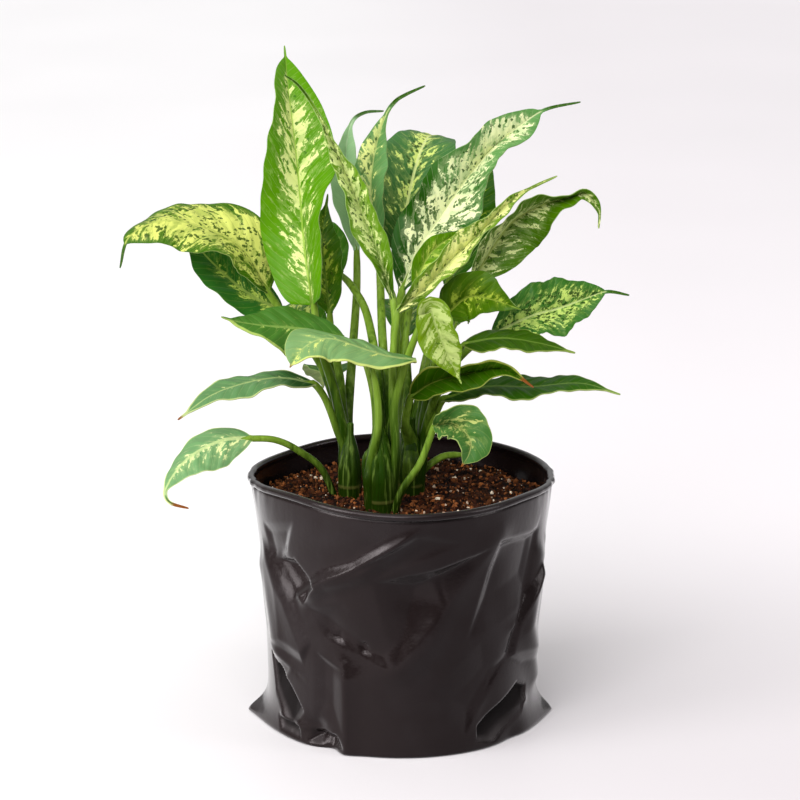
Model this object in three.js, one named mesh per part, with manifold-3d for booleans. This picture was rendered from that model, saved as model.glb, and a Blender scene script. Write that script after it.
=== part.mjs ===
// A potted dieffenbachia: three leafy stalks growing in a soil-filled nursery bag of black plastic film.
// Millimetres, +Z up. The origin is the middle of the bag's base, on the surface it stands on, and the
// plant's front faces -Y.

import * as THREE from "three";
import { mergeVertices } from "three/addons/utils/BufferGeometryUtils.js";
import Module from "manifold-3d";

const wasm = await Module();
wasm.setup();

// ---------------------------------------------------------------- driving dimensions

const CLEARANCE = 0.3; // left between pieces that touch

const BAG = {
  sides: 44,
  film: 1.0, // the film with its creases, as one wall
  levels: [5, 12, 22, 38, 56, 74, 92, 108, 119],
  height: 141,
  hemStart: 136.5, // the top edge is rolled over from here up
  hemBulge: 1.8,
  hemFold: 2.4,
  // wall radius at each height, before ears and folds
  profile: [
    [0, 78.5], [6, 77], [18, 75], [45, 76], [80, 77.5], [110, 80.5], [132, 84], [141, 84.6],
  ],
  // the two corners of the flat bag stick out at the base: direction in degrees from +X, reach, spread
  ears: [
    { direction: 180, reach: 11, spread: 14, rise: 9 },
    { direction: 0, reach: 9, spread: 14, rise: 9 },
  ],
};

// Folds of the film: a route over the unrolled wall (degrees from the front, + to the right; height),
// how far it stands out (+) or in (-), and its half width.
const FOLDS = [
  { route: [[-44, 90], [-33, 99], [-16, 107], [-4, 120], [7, 133]], out: 3.2, width: 5 },
  { route: [[-58, 110], [-44, 90]], out: -2.2, width: 6 },
  { route: [[2, 96], [20, 84], [30, 108]], out: -4.5, width: 13 },
  { route: [[39, 128], [22, 92], [11, 66], [-2, 52]], out: 3.0, width: 6 },
  { route: [[-30, 72], [-17, 58]], out: -3.0, width: 9 },
  { route: [[-24, 44], [-23, 4]], out: 2.0, width: 7 },
  { route: [[-38, 14], [-32, 5]], out: -4.5, width: 7 },
  { route: [[38, 24], [52, 12]], out: -5.0, width: 9 },
  { route: [[70, 100], [62, 62], [75, 30]], out: 3.0, width: 8 },
  { route: [[-75, 92], [-62, 50]], out: 3.0, width: 9 },
  { route: [[120, 120], [105, 70], [128, 24]], out: -3.5, width: 10 },
  { route: [[-125, 112], [-108, 66], [-140, 34]], out: 3.0, width: 8 },
  { route: [[165, 96], [180, 60], [160, 22]], out: 3.5, width: 9 },
  { route: [[-160, 118], [-172, 84]], out: -3.0, width: 10 },
];

const SOIL = { edge: 125.5, top: 127, rings: [0.86, 0.68, 0.48, 0.26] };

// Each stalk is a short cane in its own hole in the soil, wrapped in the sheaths of its leaf stems.
const CANE_SIDES = 10;
const CANE_ROOT = 100; // the height of a cane's foot, inside its hole
const STALKS = {
  stalk_left: { x: -29, y: 1, radius: 6.5, topRadius: 8, top: 162 },
  stalk_centre: { x: -12, y: -27, radius: 9, topRadius: 11, top: 174 },
  stalk_right: { x: 5, y: 4, radius: 7.5, topRadius: 9, top: 164 },
};

const STEM = { sides: 6, steps: 9, root: 4.2, tip: 1.9, square: 5, seat: 0.45 };
// `cup` is how many degrees a half blade bends between midrib and edge; `base` and `tip` are the least
// half widths there.
const BLADE = { steps: 13, halfSteps: 2, thickness: 0.8, midrib: 1.5, cup: -24, base: 2.2, tip: 0.3 };

// The leaves are measured square to the line of sight of someone who stands in front and looks down a
// little: across to the right, up, and toward the viewer, in mm from the middle of the plant.
const VIEW = { down: 14, distance: 1600, centre: new THREE.Vector3(-1, 0, 182) };

// One entry for each leaf. `stem` holds the leaf stem's points after the cane, `rib` the midrib's from
// base to tip, both as [across, up, toward]. `half` is the widest half blade and `widest` how far along
// it lies. `left` and `right` are the angles, one for each rib point, by which the two half blades turn
// from the plane square to `face` (by default the viewer), + for up out of it. `tail` is the share of
// the rib that is only the drawn-out tip. `waves` holds how many waves an edge has, how high they are
// and where they start. `shoulder` and `taper` make a fuller base and tip the smaller they are, and
// `seat` is where a stem meets its blade, if that isn't at the base, and `girth` is a thin stem's radius
// at its foot.
const LEAVES = {
  // the tall leaf at the upper left, and the speckled one behind it
  leaf_01: {
    stalk: "stalk_left", stem: [[-31, -22, -12], [-36, 4, -10], [-44, 30, -6]],
    rib: [[-48, 53, -4], [-52, 80, -7], [-55, 111, -13], [-58, 139, -21], [-62, 172, -35], [-64, 196, -53]],
    half: 24.5, widest: 0.48, tail: 0.05, left: [0, -5, 18, 56, 56, 40], right: [70, 68, 52, 12, 0, 0],
    waves: [3, 2.2, 0.2], shoulder: 0.22, taper: 0.8,
  },
  leaf_02: {
    stalk: "stalk_left", stem: [[-31, -22, -20], [-33, 10, -26], [-38, 36, -26]],
    rib: [[-39, 48, -25], [-41, 67, -26], [-43, 89, -30], [-40, 114, -40]],
    half: 12, widest: 0.4, tail: 0.06, left: [20, 15, 20, 20], right: [30, 30, 30, 20],
    waves: [2, 1.6, 0.5],
  },
  // the narrow leaf that crosses in front of them
  leaf_03: {
    stalk: "stalk_centre", stem: [[-2, 8, 22], [-2, 34, 20]],
    rib: [[-4, 56, 16], [-11, 78, 12], [-19, 98, 8], [-27, 118, 4], [-36, 139, 2], [-47, 161, 2],
      [-56, 174, 2], [-64, 180, 2]],
    half: 12.5, widest: 0.4, tail: 0.16, left: [60, 55, 50, 58, 62, 55, 40, 20],
    right: [60, 50, 48, 55, 65, 55, 40, 20], waves: [3, 1.4, 0.1],
  },
  // left side, from the top down
  leaf_04: {
    stalk: "stalk_left", stem: [[-32, -14, -20], [-44, 20, -24], [-62, 44, -20]],
    rib: [[-73, 60, -14], [-87, 83, -8], [-108, 95, 0], [-132, 99, 6], [-150, 90, 10], [-155, 73, 12]],
    half: 22, widest: 0.4, tail: 0.12, left: [60, 64, 56, 26, 15, 10], right: [-20, -18, -50, -74, -60, 0],
    waves: [3, 2.4, 0.3], taper: 0.62,
  },
  leaf_05: {
    stalk: "stalk_left", stem: [[-32, -12, -26], [-40, 18, -34], [-54, 38, -32]],
    rib: [[-65, 49, -28], [-83, 58, -26], [-100, 72, -26], [-114, 87, -30], [-120, 98, -36]],
    half: 16, widest: 0.45, tail: 0.05, left: [40, 40, 42, 40, 20], right: [-20, -20, -25, -20, 0],
    waves: [2, 1.9, 0.6],
  },
  leaf_06: {
    stalk: "stalk_centre", stem: [[-13, -24, 20], [-14, 2, 24], [-21, 26, 17]],
    rib: [[-31, 34, 14], [-53, 39, 18], [-75, 41, 24], [-89, 43, 28], [-99, 46, 32]],
    half: 17, widest: 0.42, tail: 0.05, left: [30, 15, 42, 45, 20], right: [-45, -50, -50, -40, 0],
    waves: [2, 2.2, 0.1],
  },
  leaf_07: {
    stalk: "stalk_centre", girth: 3.6, stem: [[-16, -34, 24], [-12, -14, 33], [-13, 6, 40]],
    seat: [-16, 20, 46],
    rib: [[9, 22, 41], [-6, 24, 45], [-21, 28.5, 48], [-36, 33.5, 51], [-46, 33, 54], [-55, 27, 57],
      [-61, 18, 60]],
    half: 16, widest: 0.66, tail: 0.02, left: [62, 55, 48, 38, 36, 50, 40],
    right: [-60, -72, -78, -78, -58, -15, 0], waves: [2, 1.6, 0.4], taper: 0.65,
  },
  leaf_08: {
    stalk: "stalk_left", girth: 3, stem: [[-31, -30, -12], [-35, -16, -10], [-41, 0, -7]],
    rib: [[-47, 9, -4], [-67, 12, 4], [-86, 9, 10], [-105, 2, 16], [-123, -11, 22]],
    half: 13, widest: 0.5, tail: 0.05, left: [60, 62, 58, 55, 20], right: [-60, -68, -66, -58, -10],
    waves: [2, 1.6, 0.8],
  },
  leaf_09: {
    stalk: "stalk_left", root: -4, girth: 2.4, stem: [[-42, -40, -8], [-56, -28, 0], [-69, -22, 6]],
    rib: [[-82, -21, 10], [-97, -22, 14], [-111, -28, 18], [-121, -36, 22], [-128, -46, 26],
      [-130, -52, 27], [-127, -57, 28], [-117, -60, 28]],
    half: 15, widest: 0.4, tail: 0.2, left: [20, 15, 15, 25, 30, 20, 10, 0],
    right: [-45, -58, -62, -62, -50, -20, -10, 0], waves: [2, 1.4, 0.5],
  },
  // top middle, behind
  leaf_10: {
    stalk: "stalk_left", stem: [[-29, -12, -30], [-26, 30, -44], [-24, 60, -50]],
    rib: [[-24, 83, -52], [-28, 111, -54], [-30, 136, -58], [-27, 153, -62], [-20, 159, -64],
      [-9, 160, -64]],
    half: 11, widest: 0.45, tail: 0.2, left: [40, 40, 35, 30, 20, 0], right: [40, 40, 40, 30, 20, 0],
    waves: [2, 1.4, 0.2],
  },
  leaf_11: {
    stalk: "stalk_centre", stem: [[-8, 0, 6], [-10, 40, -8], [-11, 68, -20]],
    rib: [[-12, 89, -26], [-16, 114, -30], [-14, 136, -34], [-8, 157, -38], [-3, 165, -40], [3, 169, -40],
      [14, 174, -40]],
    half: 13, widest: 0.35, tail: 0.24, left: [30, 25, 25, 30, 20, 10, 0],
    right: [50, 55, 52, 45, 20, 10, 0], waves: [2, 1.4, 0.7],
  },
  leaf_12: {
    stalk: "stalk_right", stem: [[5, -8, -26], [3, 30, -38], [1, 58, -46]],
    rib: [[2, 77, -50], [3, 101, -56], [8, 126, -66], [14, 143, -84], [19, 146, -110], [22, 138, -132]],
    face: [0, 0.6, 0.8],
    half: 24, widest: 0.38, tail: 0.04, left: [38, 25, 12, 0, 0, 0], right: [38, 30, 20, 10, 5, 0],
    waves: [3, 1.8, 0.4], taper: 1.4,
  },
  // right side, from the top down
  leaf_13: {
    stalk: "stalk_centre", stem: [[-2, 4, 16], [-3, 38, 8]],
    rib: [[1, 61, 0], [10, 83, -6], [21, 99, -12], [36, 121, -18], [51, 139, -24], [68, 153, -26],
      [81, 161, -26], [100, 165, -24]],
    half: 21, widest: 0.42, tail: 0.15, left: [10, 5, 14, 30, 40, 20, 10, 0],
    right: [40, 38, 35, 48, 76, 18, 10, 0], waves: [4, 3, 0.15], taper: 0.6,
  },
  leaf_14: {
    stalk: "stalk_right", stem: [[12, 0, -22], [20, 36, -30], [26, 60, -33]],
    rib: [[29, 73, -34], [39, 97, -38], [47, 117, -42], [52, 133, -46]],
    half: 12, widest: 0.45, tail: 0.05, left: [30, 30, 30, 20], right: [30, 20, 20, 20],
    waves: [2, 1.6, 0.6],
  },
  leaf_15: {
    stalk: "stalk_centre", stem: [[-4, -8, 26], [-4, 24, 26]],
    rib: [[-1, 49, 25], [14, 62, 26], [28, 77, 26], [44, 92, 24], [58, 107, 22], [72, 117, 20],
      [87, 124, 18]],
    half: 11, widest: 0.35, tail: 0.1, left: [50, 46, 42, 44, 50, 50, 20],
    right: [50, 58, 64, 64, 62, 50, 20], waves: [3, 2.2, 0.5],
  },
  leaf_16: {
    stalk: "stalk_right", stem: [[14, 4, -12], [24, 34, -6], [34, 54, -2]],
    rib: [[40, 66, 0], [50, 83, 0], [62, 99, 0], [78, 108, 2], [92, 112, 4], [103, 114, 6], [110, 105, 8],
      [110, 95, 8]],
    half: 20, widest: 0.34, tail: 0.05, left: [60, 72, 76, 76, 76, 70, 40, 0],
    right: [30, 8, 2, 20, 60, 66, 30, 0], waves: [3, 2.2, 0.3],
  },
  leaf_17: {
    stalk: "stalk_centre", stem: [[0, 10, 22], [4, 44, 17]],
    rib: [[8, 62, 14], [14, 77, 12], [22, 86, 8], [37, 95, 2]],
    half: 8, widest: 0.4, tail: 0.06, left: [30, 30, 30, 20], right: [30, 25, 20, 20],
    waves: [1, 1.1, 0.2],
  },
  leaf_18: {
    stalk: "stalk_right", stem: [[13, -10, -10], [19, 20, 2]],
    rib: [[25, 47, 14], [38, 57, 22], [53, 55, 32], [67, 50, 40]],
    half: 16, widest: 0.4, tail: 0.04, left: [30, 25, 20, 20], right: [30, 30, 30, 20],
    waves: [2, 2.2, 0.7],
  },
  leaf_19: {
    stalk: "stalk_right", stem: [[16, -8, -12], [27, 16, -4], [41, 31, 2]],
    rib: [[51, 36, 5], [72, 46, 10], [89, 51, 14], [105, 57, 18], [115, 60, 20], [127, 58, 22]],
    half: 18, widest: 0.55, tail: 0.16, left: [20, 12, 14, 16, 10, 0], right: [45, 50, 38, 40, 20, 0],
    waves: [5, 2.2, 0.1], taper: 0.8,
  },
  leaf_20: {
    stalk: "stalk_right", stem: [[14, -16, -8], [20, 4, 10], [28, 20, 24]],
    rib: [[35, 31, 32], [56, 34, 37], [78, 31, 42], [97, 26, 46]],
    half: 14, widest: 0.4, tail: 0.05, left: [-60, -66, -66, -40], right: [55, 60, 62, 30],
    waves: [2, 1.4, 0.3],
  },
  leaf_21: {
    stalk: "stalk_right", stem: [[6, -24, -8], [3, -12, 4]],
    rib: [[6, 2, 14], [19, 10, 22], [39, 15, 30], [58, 17, 38], [74, 7, 44]],
    half: 14, widest: 0.4, tail: 0.05, left: [40, 50, 64, 64, 30], right: [40, 48, 50, 45, 20],
    waves: [2, 1.6, 0.5],
  },
  leaf_22: {
    stalk: "stalk_right", stem: [[11, -30, -16], [17, -14, -4]],
    rib: [[23, 0, 3], [47, 7, 12], [72, 7, 18], [100, 9, 24], [122, 3, 28]],
    half: 13, widest: 0.5, tail: 0.05, left: [-60, -64, -62, -60, -20], right: [60, 62, 62, 58, 20],
    waves: [3, 1.4, 0.2],
  },
  // low down in the middle: the pale hanging leaf and the small one above the soil
  leaf_23: {
    stalk: "stalk_centre", stem: [[-3, -4, 28], [3, 20, 34]],
    rib: [[11, 42, 40], [17, 49, 42], [20, 41, 46], [26, 26, 49], [34, 9, 50]],
    half: 13, widest: 0.5, tail: 0.04, left: [30, 30, 35, 40, 20], right: [20, 20, 20, 20, 10],
    waves: [2, 1.4, 0.5],
  },
  leaf_24: {
    stalk: "stalk_centre", root: -6, girth: 2.4, stem: [[0, -52, 26], [11, -35, 31]],
    rib: [[19, -14, 35], [28, -13.5, 41], [35, -17, 47], [39, -23, 52], [38, -30, 56], [34, -37, 58]],
    half: 15.5, widest: 0.48, tail: 0.04, left: [72, 60, 32, 10, 5, 10],
    right: [50, 56, 46, 40, 36, 30], waves: [3, 2.2, 0.55], taper: 0.85,
  },
  // the back of the plant
  leaf_25: {
    stalk: "stalk_centre", stem: [[-12, 10, 8], [-18, 46, -14], [-26, 62, -26]],
    rib: [[-33, 70, -38], [-46, 84, -58], [-58, 93, -80], [-69, 92, -102]],
    face: [0, 0.8, 0.6],
    half: 18, widest: 0.45, tail: 0.05, left: [20, 18, 15, 0], right: [20, 18, 15, 0],
    waves: [2, 1.6, 0.1],
  },
  leaf_26: {
    stalk: "stalk_left", stem: [[-32, -18, -22], [-33, 4, -32]],
    rib: [[-36, 13, -42], [-38, 16, -62], [-41, 15, -86], [-43, 6, -108]],
    face: [0, 0.8, 0.6],
    half: 15, widest: 0.45, tail: 0.05, left: [20, 15, 10, 0], right: [20, 15, 10, 0],
    waves: [2, 1.4, 0.6],
  },
  leaf_27: {
    stalk: "stalk_right", stem: [[12, 10, -30], [20, 44, -42]],
    rib: [[26, 64, -52], [32, 83, -76], [37, 92, -105], [39, 89, -130]],
    face: [0, 0.8, 0.6],
    half: 17, widest: 0.45, tail: 0.05, left: [20, 18, 15, 0], right: [20, 18, 15, 0],
    waves: [2, 1.6, 0.4],
  },
  leaf_28: {
    stalk: "stalk_right", stem: [[3, -12, -30], [1, 14, -38]],
    rib: [[2, 34, -46], [4, 46, -70], [5, 51, -100], [5, 43, -126]],
    face: [0, 0.8, 0.6],
    half: 16, widest: 0.45, tail: 0.05, left: [20, 18, 15, 0], right: [20, 18, 15, 0],
    waves: [2, 1.4, 0.2],
  },
  leaf_29: {
    stalk: "stalk_right", stem: [[14, -8, -24], [22, 26, -28]],
    rib: [[30, 42, -34], [42, 52, -58], [50, 55, -84], [57, 50, -108]],
    face: [0, 0.8, 0.6],
    half: 15, widest: 0.45, tail: 0.05, left: [20, 18, 15, 0], right: [20, 18, 15, 0],
    waves: [2, 1.4, 0.8],
  },
  leaf_30: {
    stalk: "stalk_left", stem: [[-32, -14, -26], [-37, 22, -38]],
    rib: [[-43, 38, -48], [-56, 46, -70], [-67, 48, -95], [-77, 42, -118]],
    face: [0, 0.8, 0.6],
    half: 15, widest: 0.45, tail: 0.05, left: [20, 18, 15, 0], right: [20, 18, 15, 0],
    waves: [2, 1.4, 0.5],
  },
};

// A thin young stem with no blade yet that arches out over the soil.
const SHOOT = {
  stalk: "stalk_right", root: -5, girth: 2.2, stem: [[10, -44, -22], [22, -32, -24], [36, -30, -26]],
};

// ---------------------------------------------------------------- small helpers

const radians = THREE.MathUtils.degToRad;

function fromView([across, up, toward]) {
  const shrink = 1 - toward / VIEW.distance;
  const down = radians(VIEW.down);
  return new THREE.Vector3(
    across * shrink,
    up * shrink * Math.sin(down) - toward * Math.cos(down),
    up * shrink * Math.cos(down) + toward * Math.sin(down),
  ).add(VIEW.centre);
}

// Piecewise linear value of a table of [place, value] rows.
function tableValue(rows, place) {
  const last = rows.findIndex(([end]) => end >= place);
  if (last <= 0) return last === 0 ? rows[0][1] : rows[rows.length - 1][1];
  const [from, low] = rows[last - 1];
  const [to, high] = rows[last];
  return low + ((high - low) * (place - from)) / (to - from);
}

function geometryOf(points, triangles) {
  const geometry = new THREE.BufferGeometry();
  const places = points.flatMap((p) => p.toArray());
  geometry.setAttribute("position", new THREE.Float32BufferAttribute(places, 3));
  geometry.setIndex(triangles.flat());
  return geometry;
}

function solidOf(geometry) {
  const bare = geometry.clone();
  bare.deleteAttribute("normal");
  bare.deleteAttribute("uv");
  const merged = mergeVertices(bare, 1e-4);
  return new wasm.Manifold(
    new wasm.Mesh({
      numProp: 3,
      vertProperties: new Float32Array(merged.attributes.position.array),
      triVerts: new Uint32Array(merged.index.array),
    }),
  );
}

function geometryOfSolid(solid) {
  const { vertProperties, triVerts } = solid.getMesh();
  const geometry = new THREE.BufferGeometry();
  geometry.setAttribute("position", new THREE.BufferAttribute(new Float32Array(vertProperties), 3));
  geometry.setIndex(new THREE.BufferAttribute(new Uint32Array(triVerts), 1));
  return geometry;
}

// Closes rings of points, each a loop of the same count, into one body: every ring joins the next, and
// the first and last ring are closed by a fan on its middle. `mirrored` splits each four-sided face
// along its other diagonal.
function closedRings(rings, firstMiddle, lastMiddle, mirrored = false) {
  const count = rings[0].length;
  const points = [...rings.flat(), firstMiddle, lastMiddle];
  const first = points.length - 2;
  const last = points.length - 1;
  const triangles = [];
  for (let k = 0; k < count; k++) {
    const next = (k + 1) % count;
    triangles.push([first, next, k]);
    for (let r = 0; r + 1 < rings.length; r++) {
      const low = r * count;
      const high = low + count;
      if (mirrored) triangles.push([low + k, low + next, high + k], [low + next, high + next, high + k]);
      else triangles.push([low + k, low + next, high + next], [low + k, high + next, high + k]);
    }
    const top = (rings.length - 1) * count;
    triangles.push([last, top + k, top + next]);
  }
  return geometryOf(points, triangles);
}

// ---------------------------------------------------------------- the bag and its soil

function distanceToRoute(route, angle, height, radius) {
  const at = new THREE.Vector3(radians(angle) * radius, height, 0);
  const nearest = new THREE.Vector3();
  let distance = Infinity;
  for (let k = 0; k + 1 < route.length; k++) {
    const [start, end] = [route[k], route[k + 1]].map(
      ([turn, rise]) => new THREE.Vector3(radians(turn) * radius, rise, 0),
    );
    new THREE.Line3(start, end).closestPointToPoint(at, true, nearest);
    distance = Math.min(distance, at.distanceTo(nearest));
  }
  return distance;
}

// Degrees from the front of the bag, + to the right, in -180 to 180.
function turnFromFront(direction) {
  return THREE.MathUtils.euclideanModulo(direction + 90 + 180, 360) - 180;
}

function wallRadius(direction, height) {
  let radius = tableValue(BAG.profile, height);
  for (const ear of BAG.ears) {
    const away = turnFromFront(direction - ear.direction - 90) / ear.spread;
    radius += ear.reach * Math.exp(-Math.abs(away)) * Math.exp(-((height / ear.rise) ** 2));
  }
  const calm = THREE.MathUtils.smoothstep(BAG.height - height, 4, 24);
  const turn = turnFromFront(direction);
  for (const fold of FOLDS) {
    const away = Math.min(
      ...[-360, 0, 360].map((full) => distanceToRoute(fold.route, turn + full, height, radius)),
    );
    radius += calm * fold.out * Math.exp(-((away / fold.width) ** 2));
  }
  return radius;
}

function wallRing(height, inward) {
  return Array.from({ length: BAG.sides }, (_, k) => {
    const direction = (360 * k) / BAG.sides;
    const radius = wallRadius(direction, Math.min(height, BAG.hemStart)) - inward;
    const turn = radians(direction);
    return new THREE.Vector3(radius * Math.cos(turn), radius * Math.sin(turn), height);
  });
}

function growBag() {
  const { film, height, hemStart, hemBulge, hemFold } = BAG;
  const wall = [...BAG.levels, SOIL.edge, hemStart];
  const hem = [
    [hemStart + 1, -hemBulge], [height - 1.5, -hemBulge], [height, -hemBulge / 2], [height, hemFold / 2],
    [height - 1.5, hemFold], [hemStart + 1, hemFold],
  ];
  const rings = [
    ...[0, ...wall].map((level) => wallRing(level, 0)),
    ...hem.map(([level, inward]) => wallRing(level, inward)),
    ...[film, ...wall].reverse().map((level) => wallRing(level, film)),
  ];
  return closedRings(rings, new THREE.Vector3(0, 0, 0), new THREE.Vector3(0, 0, film));
}

function soilHeight(x, y) {
  const rough = Math.sin(x / 6.5 + 1) * Math.cos(y / 7.5) + 0.6 * Math.sin((x + y) / 4.2);
  return SOIL.top + 0.9 * rough;
}

function pottingSoil() {
  const inward = BAG.film + CLEARANCE;
  const sides = [inward, ...BAG.levels, SOIL.edge].map((level) => wallRing(level, inward));
  const rim = sides[sides.length - 1];
  const top = SOIL.rings.map((share) =>
    rim.map((p) => new THREE.Vector3(p.x * share, p.y * share, soilHeight(p.x * share, p.y * share))),
  );
  const body = closedRings(
    [...sides, ...top],
    new THREE.Vector3(0, 0, inward),
    new THREE.Vector3(0, 0, soilHeight(0, 0)),
    true,
  );
  let soil = solidOf(body);
  for (const stalk of Object.values(STALKS)) {
    soil = soil.subtract(solidOf(cane(stalk, CLEARANCE)));
  }
  return geometryOfSolid(soil);
}

// ---------------------------------------------------------------- stalks and leaf stems

// A cane as a turned body; `grow` makes the hole that it stands in, straight up and open.
function cane({ x, y, radius, topRadius, top }, grow = 0) {
  const foot = CANE_ROOT - grow;
  const head = grow ? SOIL.top + 12 : top;
  const headRadius = grow ? radius + grow : topRadius;
  const shoulder = SOIL.top + 6;
  const outline = [
    [0, foot], [radius + grow, foot], [radius + grow, shoulder], [headRadius, head],
    [headRadius / 2, head + 10], [0, head + 12],
  ].map(([r, z]) => new THREE.Vector2(r, z));
  const body = new THREE.LatheGeometry(outline, CANE_SIDES);
  body.rotateX(Math.PI / 2);
  body.translate(x, y, 0);
  return body;
}

// A stem of round section that tapers along a curve.
function taperedStem(curve, startRadius, endRadius) {
  const { sides, steps } = STEM;
  const frames = curve.computeFrenetFrames(steps, false);
  const rings = Array.from({ length: steps + 1 }, (_, k) => {
    const share = k / steps;
    const middle = curve.getPointAt(share);
    const radius = startRadius + (endRadius - startRadius) * share ** 0.7;
    return Array.from({ length: sides }, (_, side) => {
      const turn = (2 * Math.PI * side) / sides;
      return middle
        .clone()
        .addScaledVector(frames.normals[k], radius * Math.cos(turn))
        .addScaledVector(frames.binormals[k], radius * Math.sin(turn));
    });
  });
  return closedRings(rings, curve.getPointAt(0), curve.getPointAt(1));
}

function stemRoute(leaf) {
  const { x, y } = STALKS[leaf.stalk];
  const start = new THREE.Vector3(x, y, SOIL.top + 10 + (leaf.root ?? 0));
  const points = [start, ...leaf.stem.map(fromView)];
  if (leaf.seat) points.push(fromView(leaf.seat));
  else if (leaf.rib) {
    const [base, next] = leaf.rib.slice(0, 2).map(fromView);
    const back = base.clone().sub(next).normalize();
    points.push(...[STEM.square, STEM.seat].map((gap) => base.clone().addScaledVector(back, gap)));
  }
  return new THREE.CatmullRomCurve3(points, false, "catmullrom");
}

function stalkBody(name) {
  let body = solidOf(cane(STALKS[name]));
  for (const leaf of [...Object.values(LEAVES), SHOOT]) {
    if (leaf.stalk !== name) continue;
    body = body.add(solidOf(taperedStem(stemRoute(leaf), leaf.girth ?? STEM.root, STEM.tip)));
  }
  return geometryOfSolid(body);
}

// ---------------------------------------------------------------- leaves

// Half width of a blade as a share of the widest: a rounded base and a drawn-out tip.
function bladeOutline(share, { widest, tail, shoulder = 0.62, taper = 1.15 }) {
  const place = share / (1 - tail);
  if (place >= 1) return 0;
  if (place < widest) return Math.sin((Math.PI / 2) * (place / widest)) ** shoulder;
  return Math.cos((Math.PI / 2) * ((place - widest) / (1 - widest))) ** taper;
}

// The points of a blade's middle surface, row by row from base to tip and across from left to right.
function bladeGrid(leaf) {
  const rib = new THREE.CatmullRomCurve3(leaf.rib.map((p) => new THREE.Vector3(...p)), false, "catmullrom");
  const turns = new THREE.CatmullRomCurve3(
    leaf.left.map((left, k) => new THREE.Vector3(left, leaf.right[k], 0)), false, "catmullrom");
  const face = new THREE.Vector3(...(leaf.face ?? [0, 0, 1])).normalize();
  const cup = radians(BLADE.cup);
  const [count, height, start] = leaf.waves;
  return Array.from({ length: BLADE.steps + 1 }, (_, row) => {
    const share = row / BLADE.steps;
    const middle = rib.getPointAt(share);
    const along = rib.getTangentAt(share);
    const side = along.clone().cross(face).normalize();
    const normal = side.clone().cross(along);
    const turn = turns.getPoint(rib.getUtoTmapping(share));
    const floor = BLADE.tip + (BLADE.base - BLADE.tip) * Math.sqrt(1 - share);
    const width = Math.max(leaf.half * bladeOutline(share, leaf), floor);
    const calm = Math.sin(Math.PI * Math.min(1, share / (1 - leaf.tail)));
    const across = [];
    for (let step = -BLADE.halfSteps; step <= BLADE.halfSteps; step++) {
      const out = Math.abs(step) / BLADE.halfSteps;
      const sign = Math.sign(step);
      const lift = radians(sign < 0 ? turn.x : turn.y) - cup / 2;
      const reach = (width / cup) * (Math.sin(lift + cup * out) - Math.sin(lift));
      const rise = (-width / cup) * (Math.cos(lift + cup * out) - Math.cos(lift));
      const wave = height * calm * out * out * Math.sin(2 * Math.PI * (count * share + start) + sign);
      across.push(
        middle
          .clone()
          .addScaledVector(side, sign * (reach - wave * Math.sin(lift)))
          .addScaledVector(normal, rise + wave * Math.cos(lift)),
      );
    }
    return across.map((p) => fromView(p.toArray()));
  });
}

// A closed blade: the grid moved out to both faces, split into triangles alike on both, with the
// midrib as a ridge under it.
function leafBlade(leaf) {
  const grid = bladeGrid(leaf);
  const rows = grid.length;
  const columns = grid[0].length;
  const middle = BLADE.halfSteps;
  const upper = [];
  const lower = [];
  for (let i = 0; i < rows; i++) {
    for (let j = 0; j < columns; j++) {
      const along = grid[Math.min(i + 1, rows - 1)][j].clone().sub(grid[Math.max(i - 1, 0)][j]);
      const across = grid[i][Math.min(j + 1, columns - 1)].clone().sub(grid[i][Math.max(j - 1, 0)]);
      const normal = across.cross(along).normalize();
      const half = BLADE.thickness / 2;
      const ridge = j === middle ? BLADE.midrib * (1 - i / (rows - 1)) : 0;
      upper.push(grid[i][j].clone().addScaledVector(normal, half));
      lower.push(grid[i][j].clone().addScaledVector(normal, -half - ridge));
    }
  }
  const under = upper.length;
  const at = (i, j) => i * columns + j;
  const triangles = [];
  const quad = (a, b, c, d) => triangles.push([a, b, c], [a, c, d]);
  for (let i = 0; i + 1 < rows; i++) {
    for (let j = 0; j + 1 < columns; j++) {
      quad(at(i, j), at(i, j + 1), at(i + 1, j + 1), at(i + 1, j));
      triangles.push(
        [under + at(i, j), under + at(i + 1, j + 1), under + at(i, j + 1)],
        [under + at(i, j), under + at(i + 1, j), under + at(i + 1, j + 1)],
      );
    }
    const last = columns - 1;
    quad(at(i, 0), at(i + 1, 0), under + at(i + 1, 0), under + at(i, 0));
    quad(at(i + 1, last), at(i, last), under + at(i, last), under + at(i + 1, last));
  }
  for (let j = 0; j + 1 < columns; j++) {
    quad(at(0, j + 1), at(0, j), under + at(0, j), under + at(0, j + 1));
    quad(at(rows - 1, j), at(rows - 1, j + 1), under + at(rows - 1, j + 1), under + at(rows - 1, j));
  }
  return geometryOf([...upper, ...lower], triangles);
}

// ---------------------------------------------------------------- the part

const MATERIALS = {
  film: new THREE.MeshStandardMaterial({ color: 0x242123, roughness: 0.35, metalness: 0 }),
  soil: new THREE.MeshStandardMaterial({ color: 0x3b2118, roughness: 0.95, metalness: 0 }),
  stem: new THREE.MeshStandardMaterial({ color: 0x55832a, roughness: 0.45, metalness: 0 }),
  leaf: new THREE.MeshStandardMaterial({ color: 0x4f8a2c, roughness: 0.4, metalness: 0 }),
};

const plant = new THREE.Group();

function addPiece(name, geometry, material) {
  const mesh = new THREE.Mesh(geometry, material.clone());
  mesh.name = name;
  plant.add(mesh);
}

addPiece("grow_bag", growBag(), MATERIALS.film);
addPiece("potting_soil", pottingSoil(), MATERIALS.soil);
for (const name of Object.keys(STALKS)) addPiece(name, stalkBody(name), MATERIALS.stem);
for (const [name, leaf] of Object.entries(LEAVES)) addPiece(name, leafBlade(leaf), MATERIALS.leaf);

export default plant;
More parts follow.
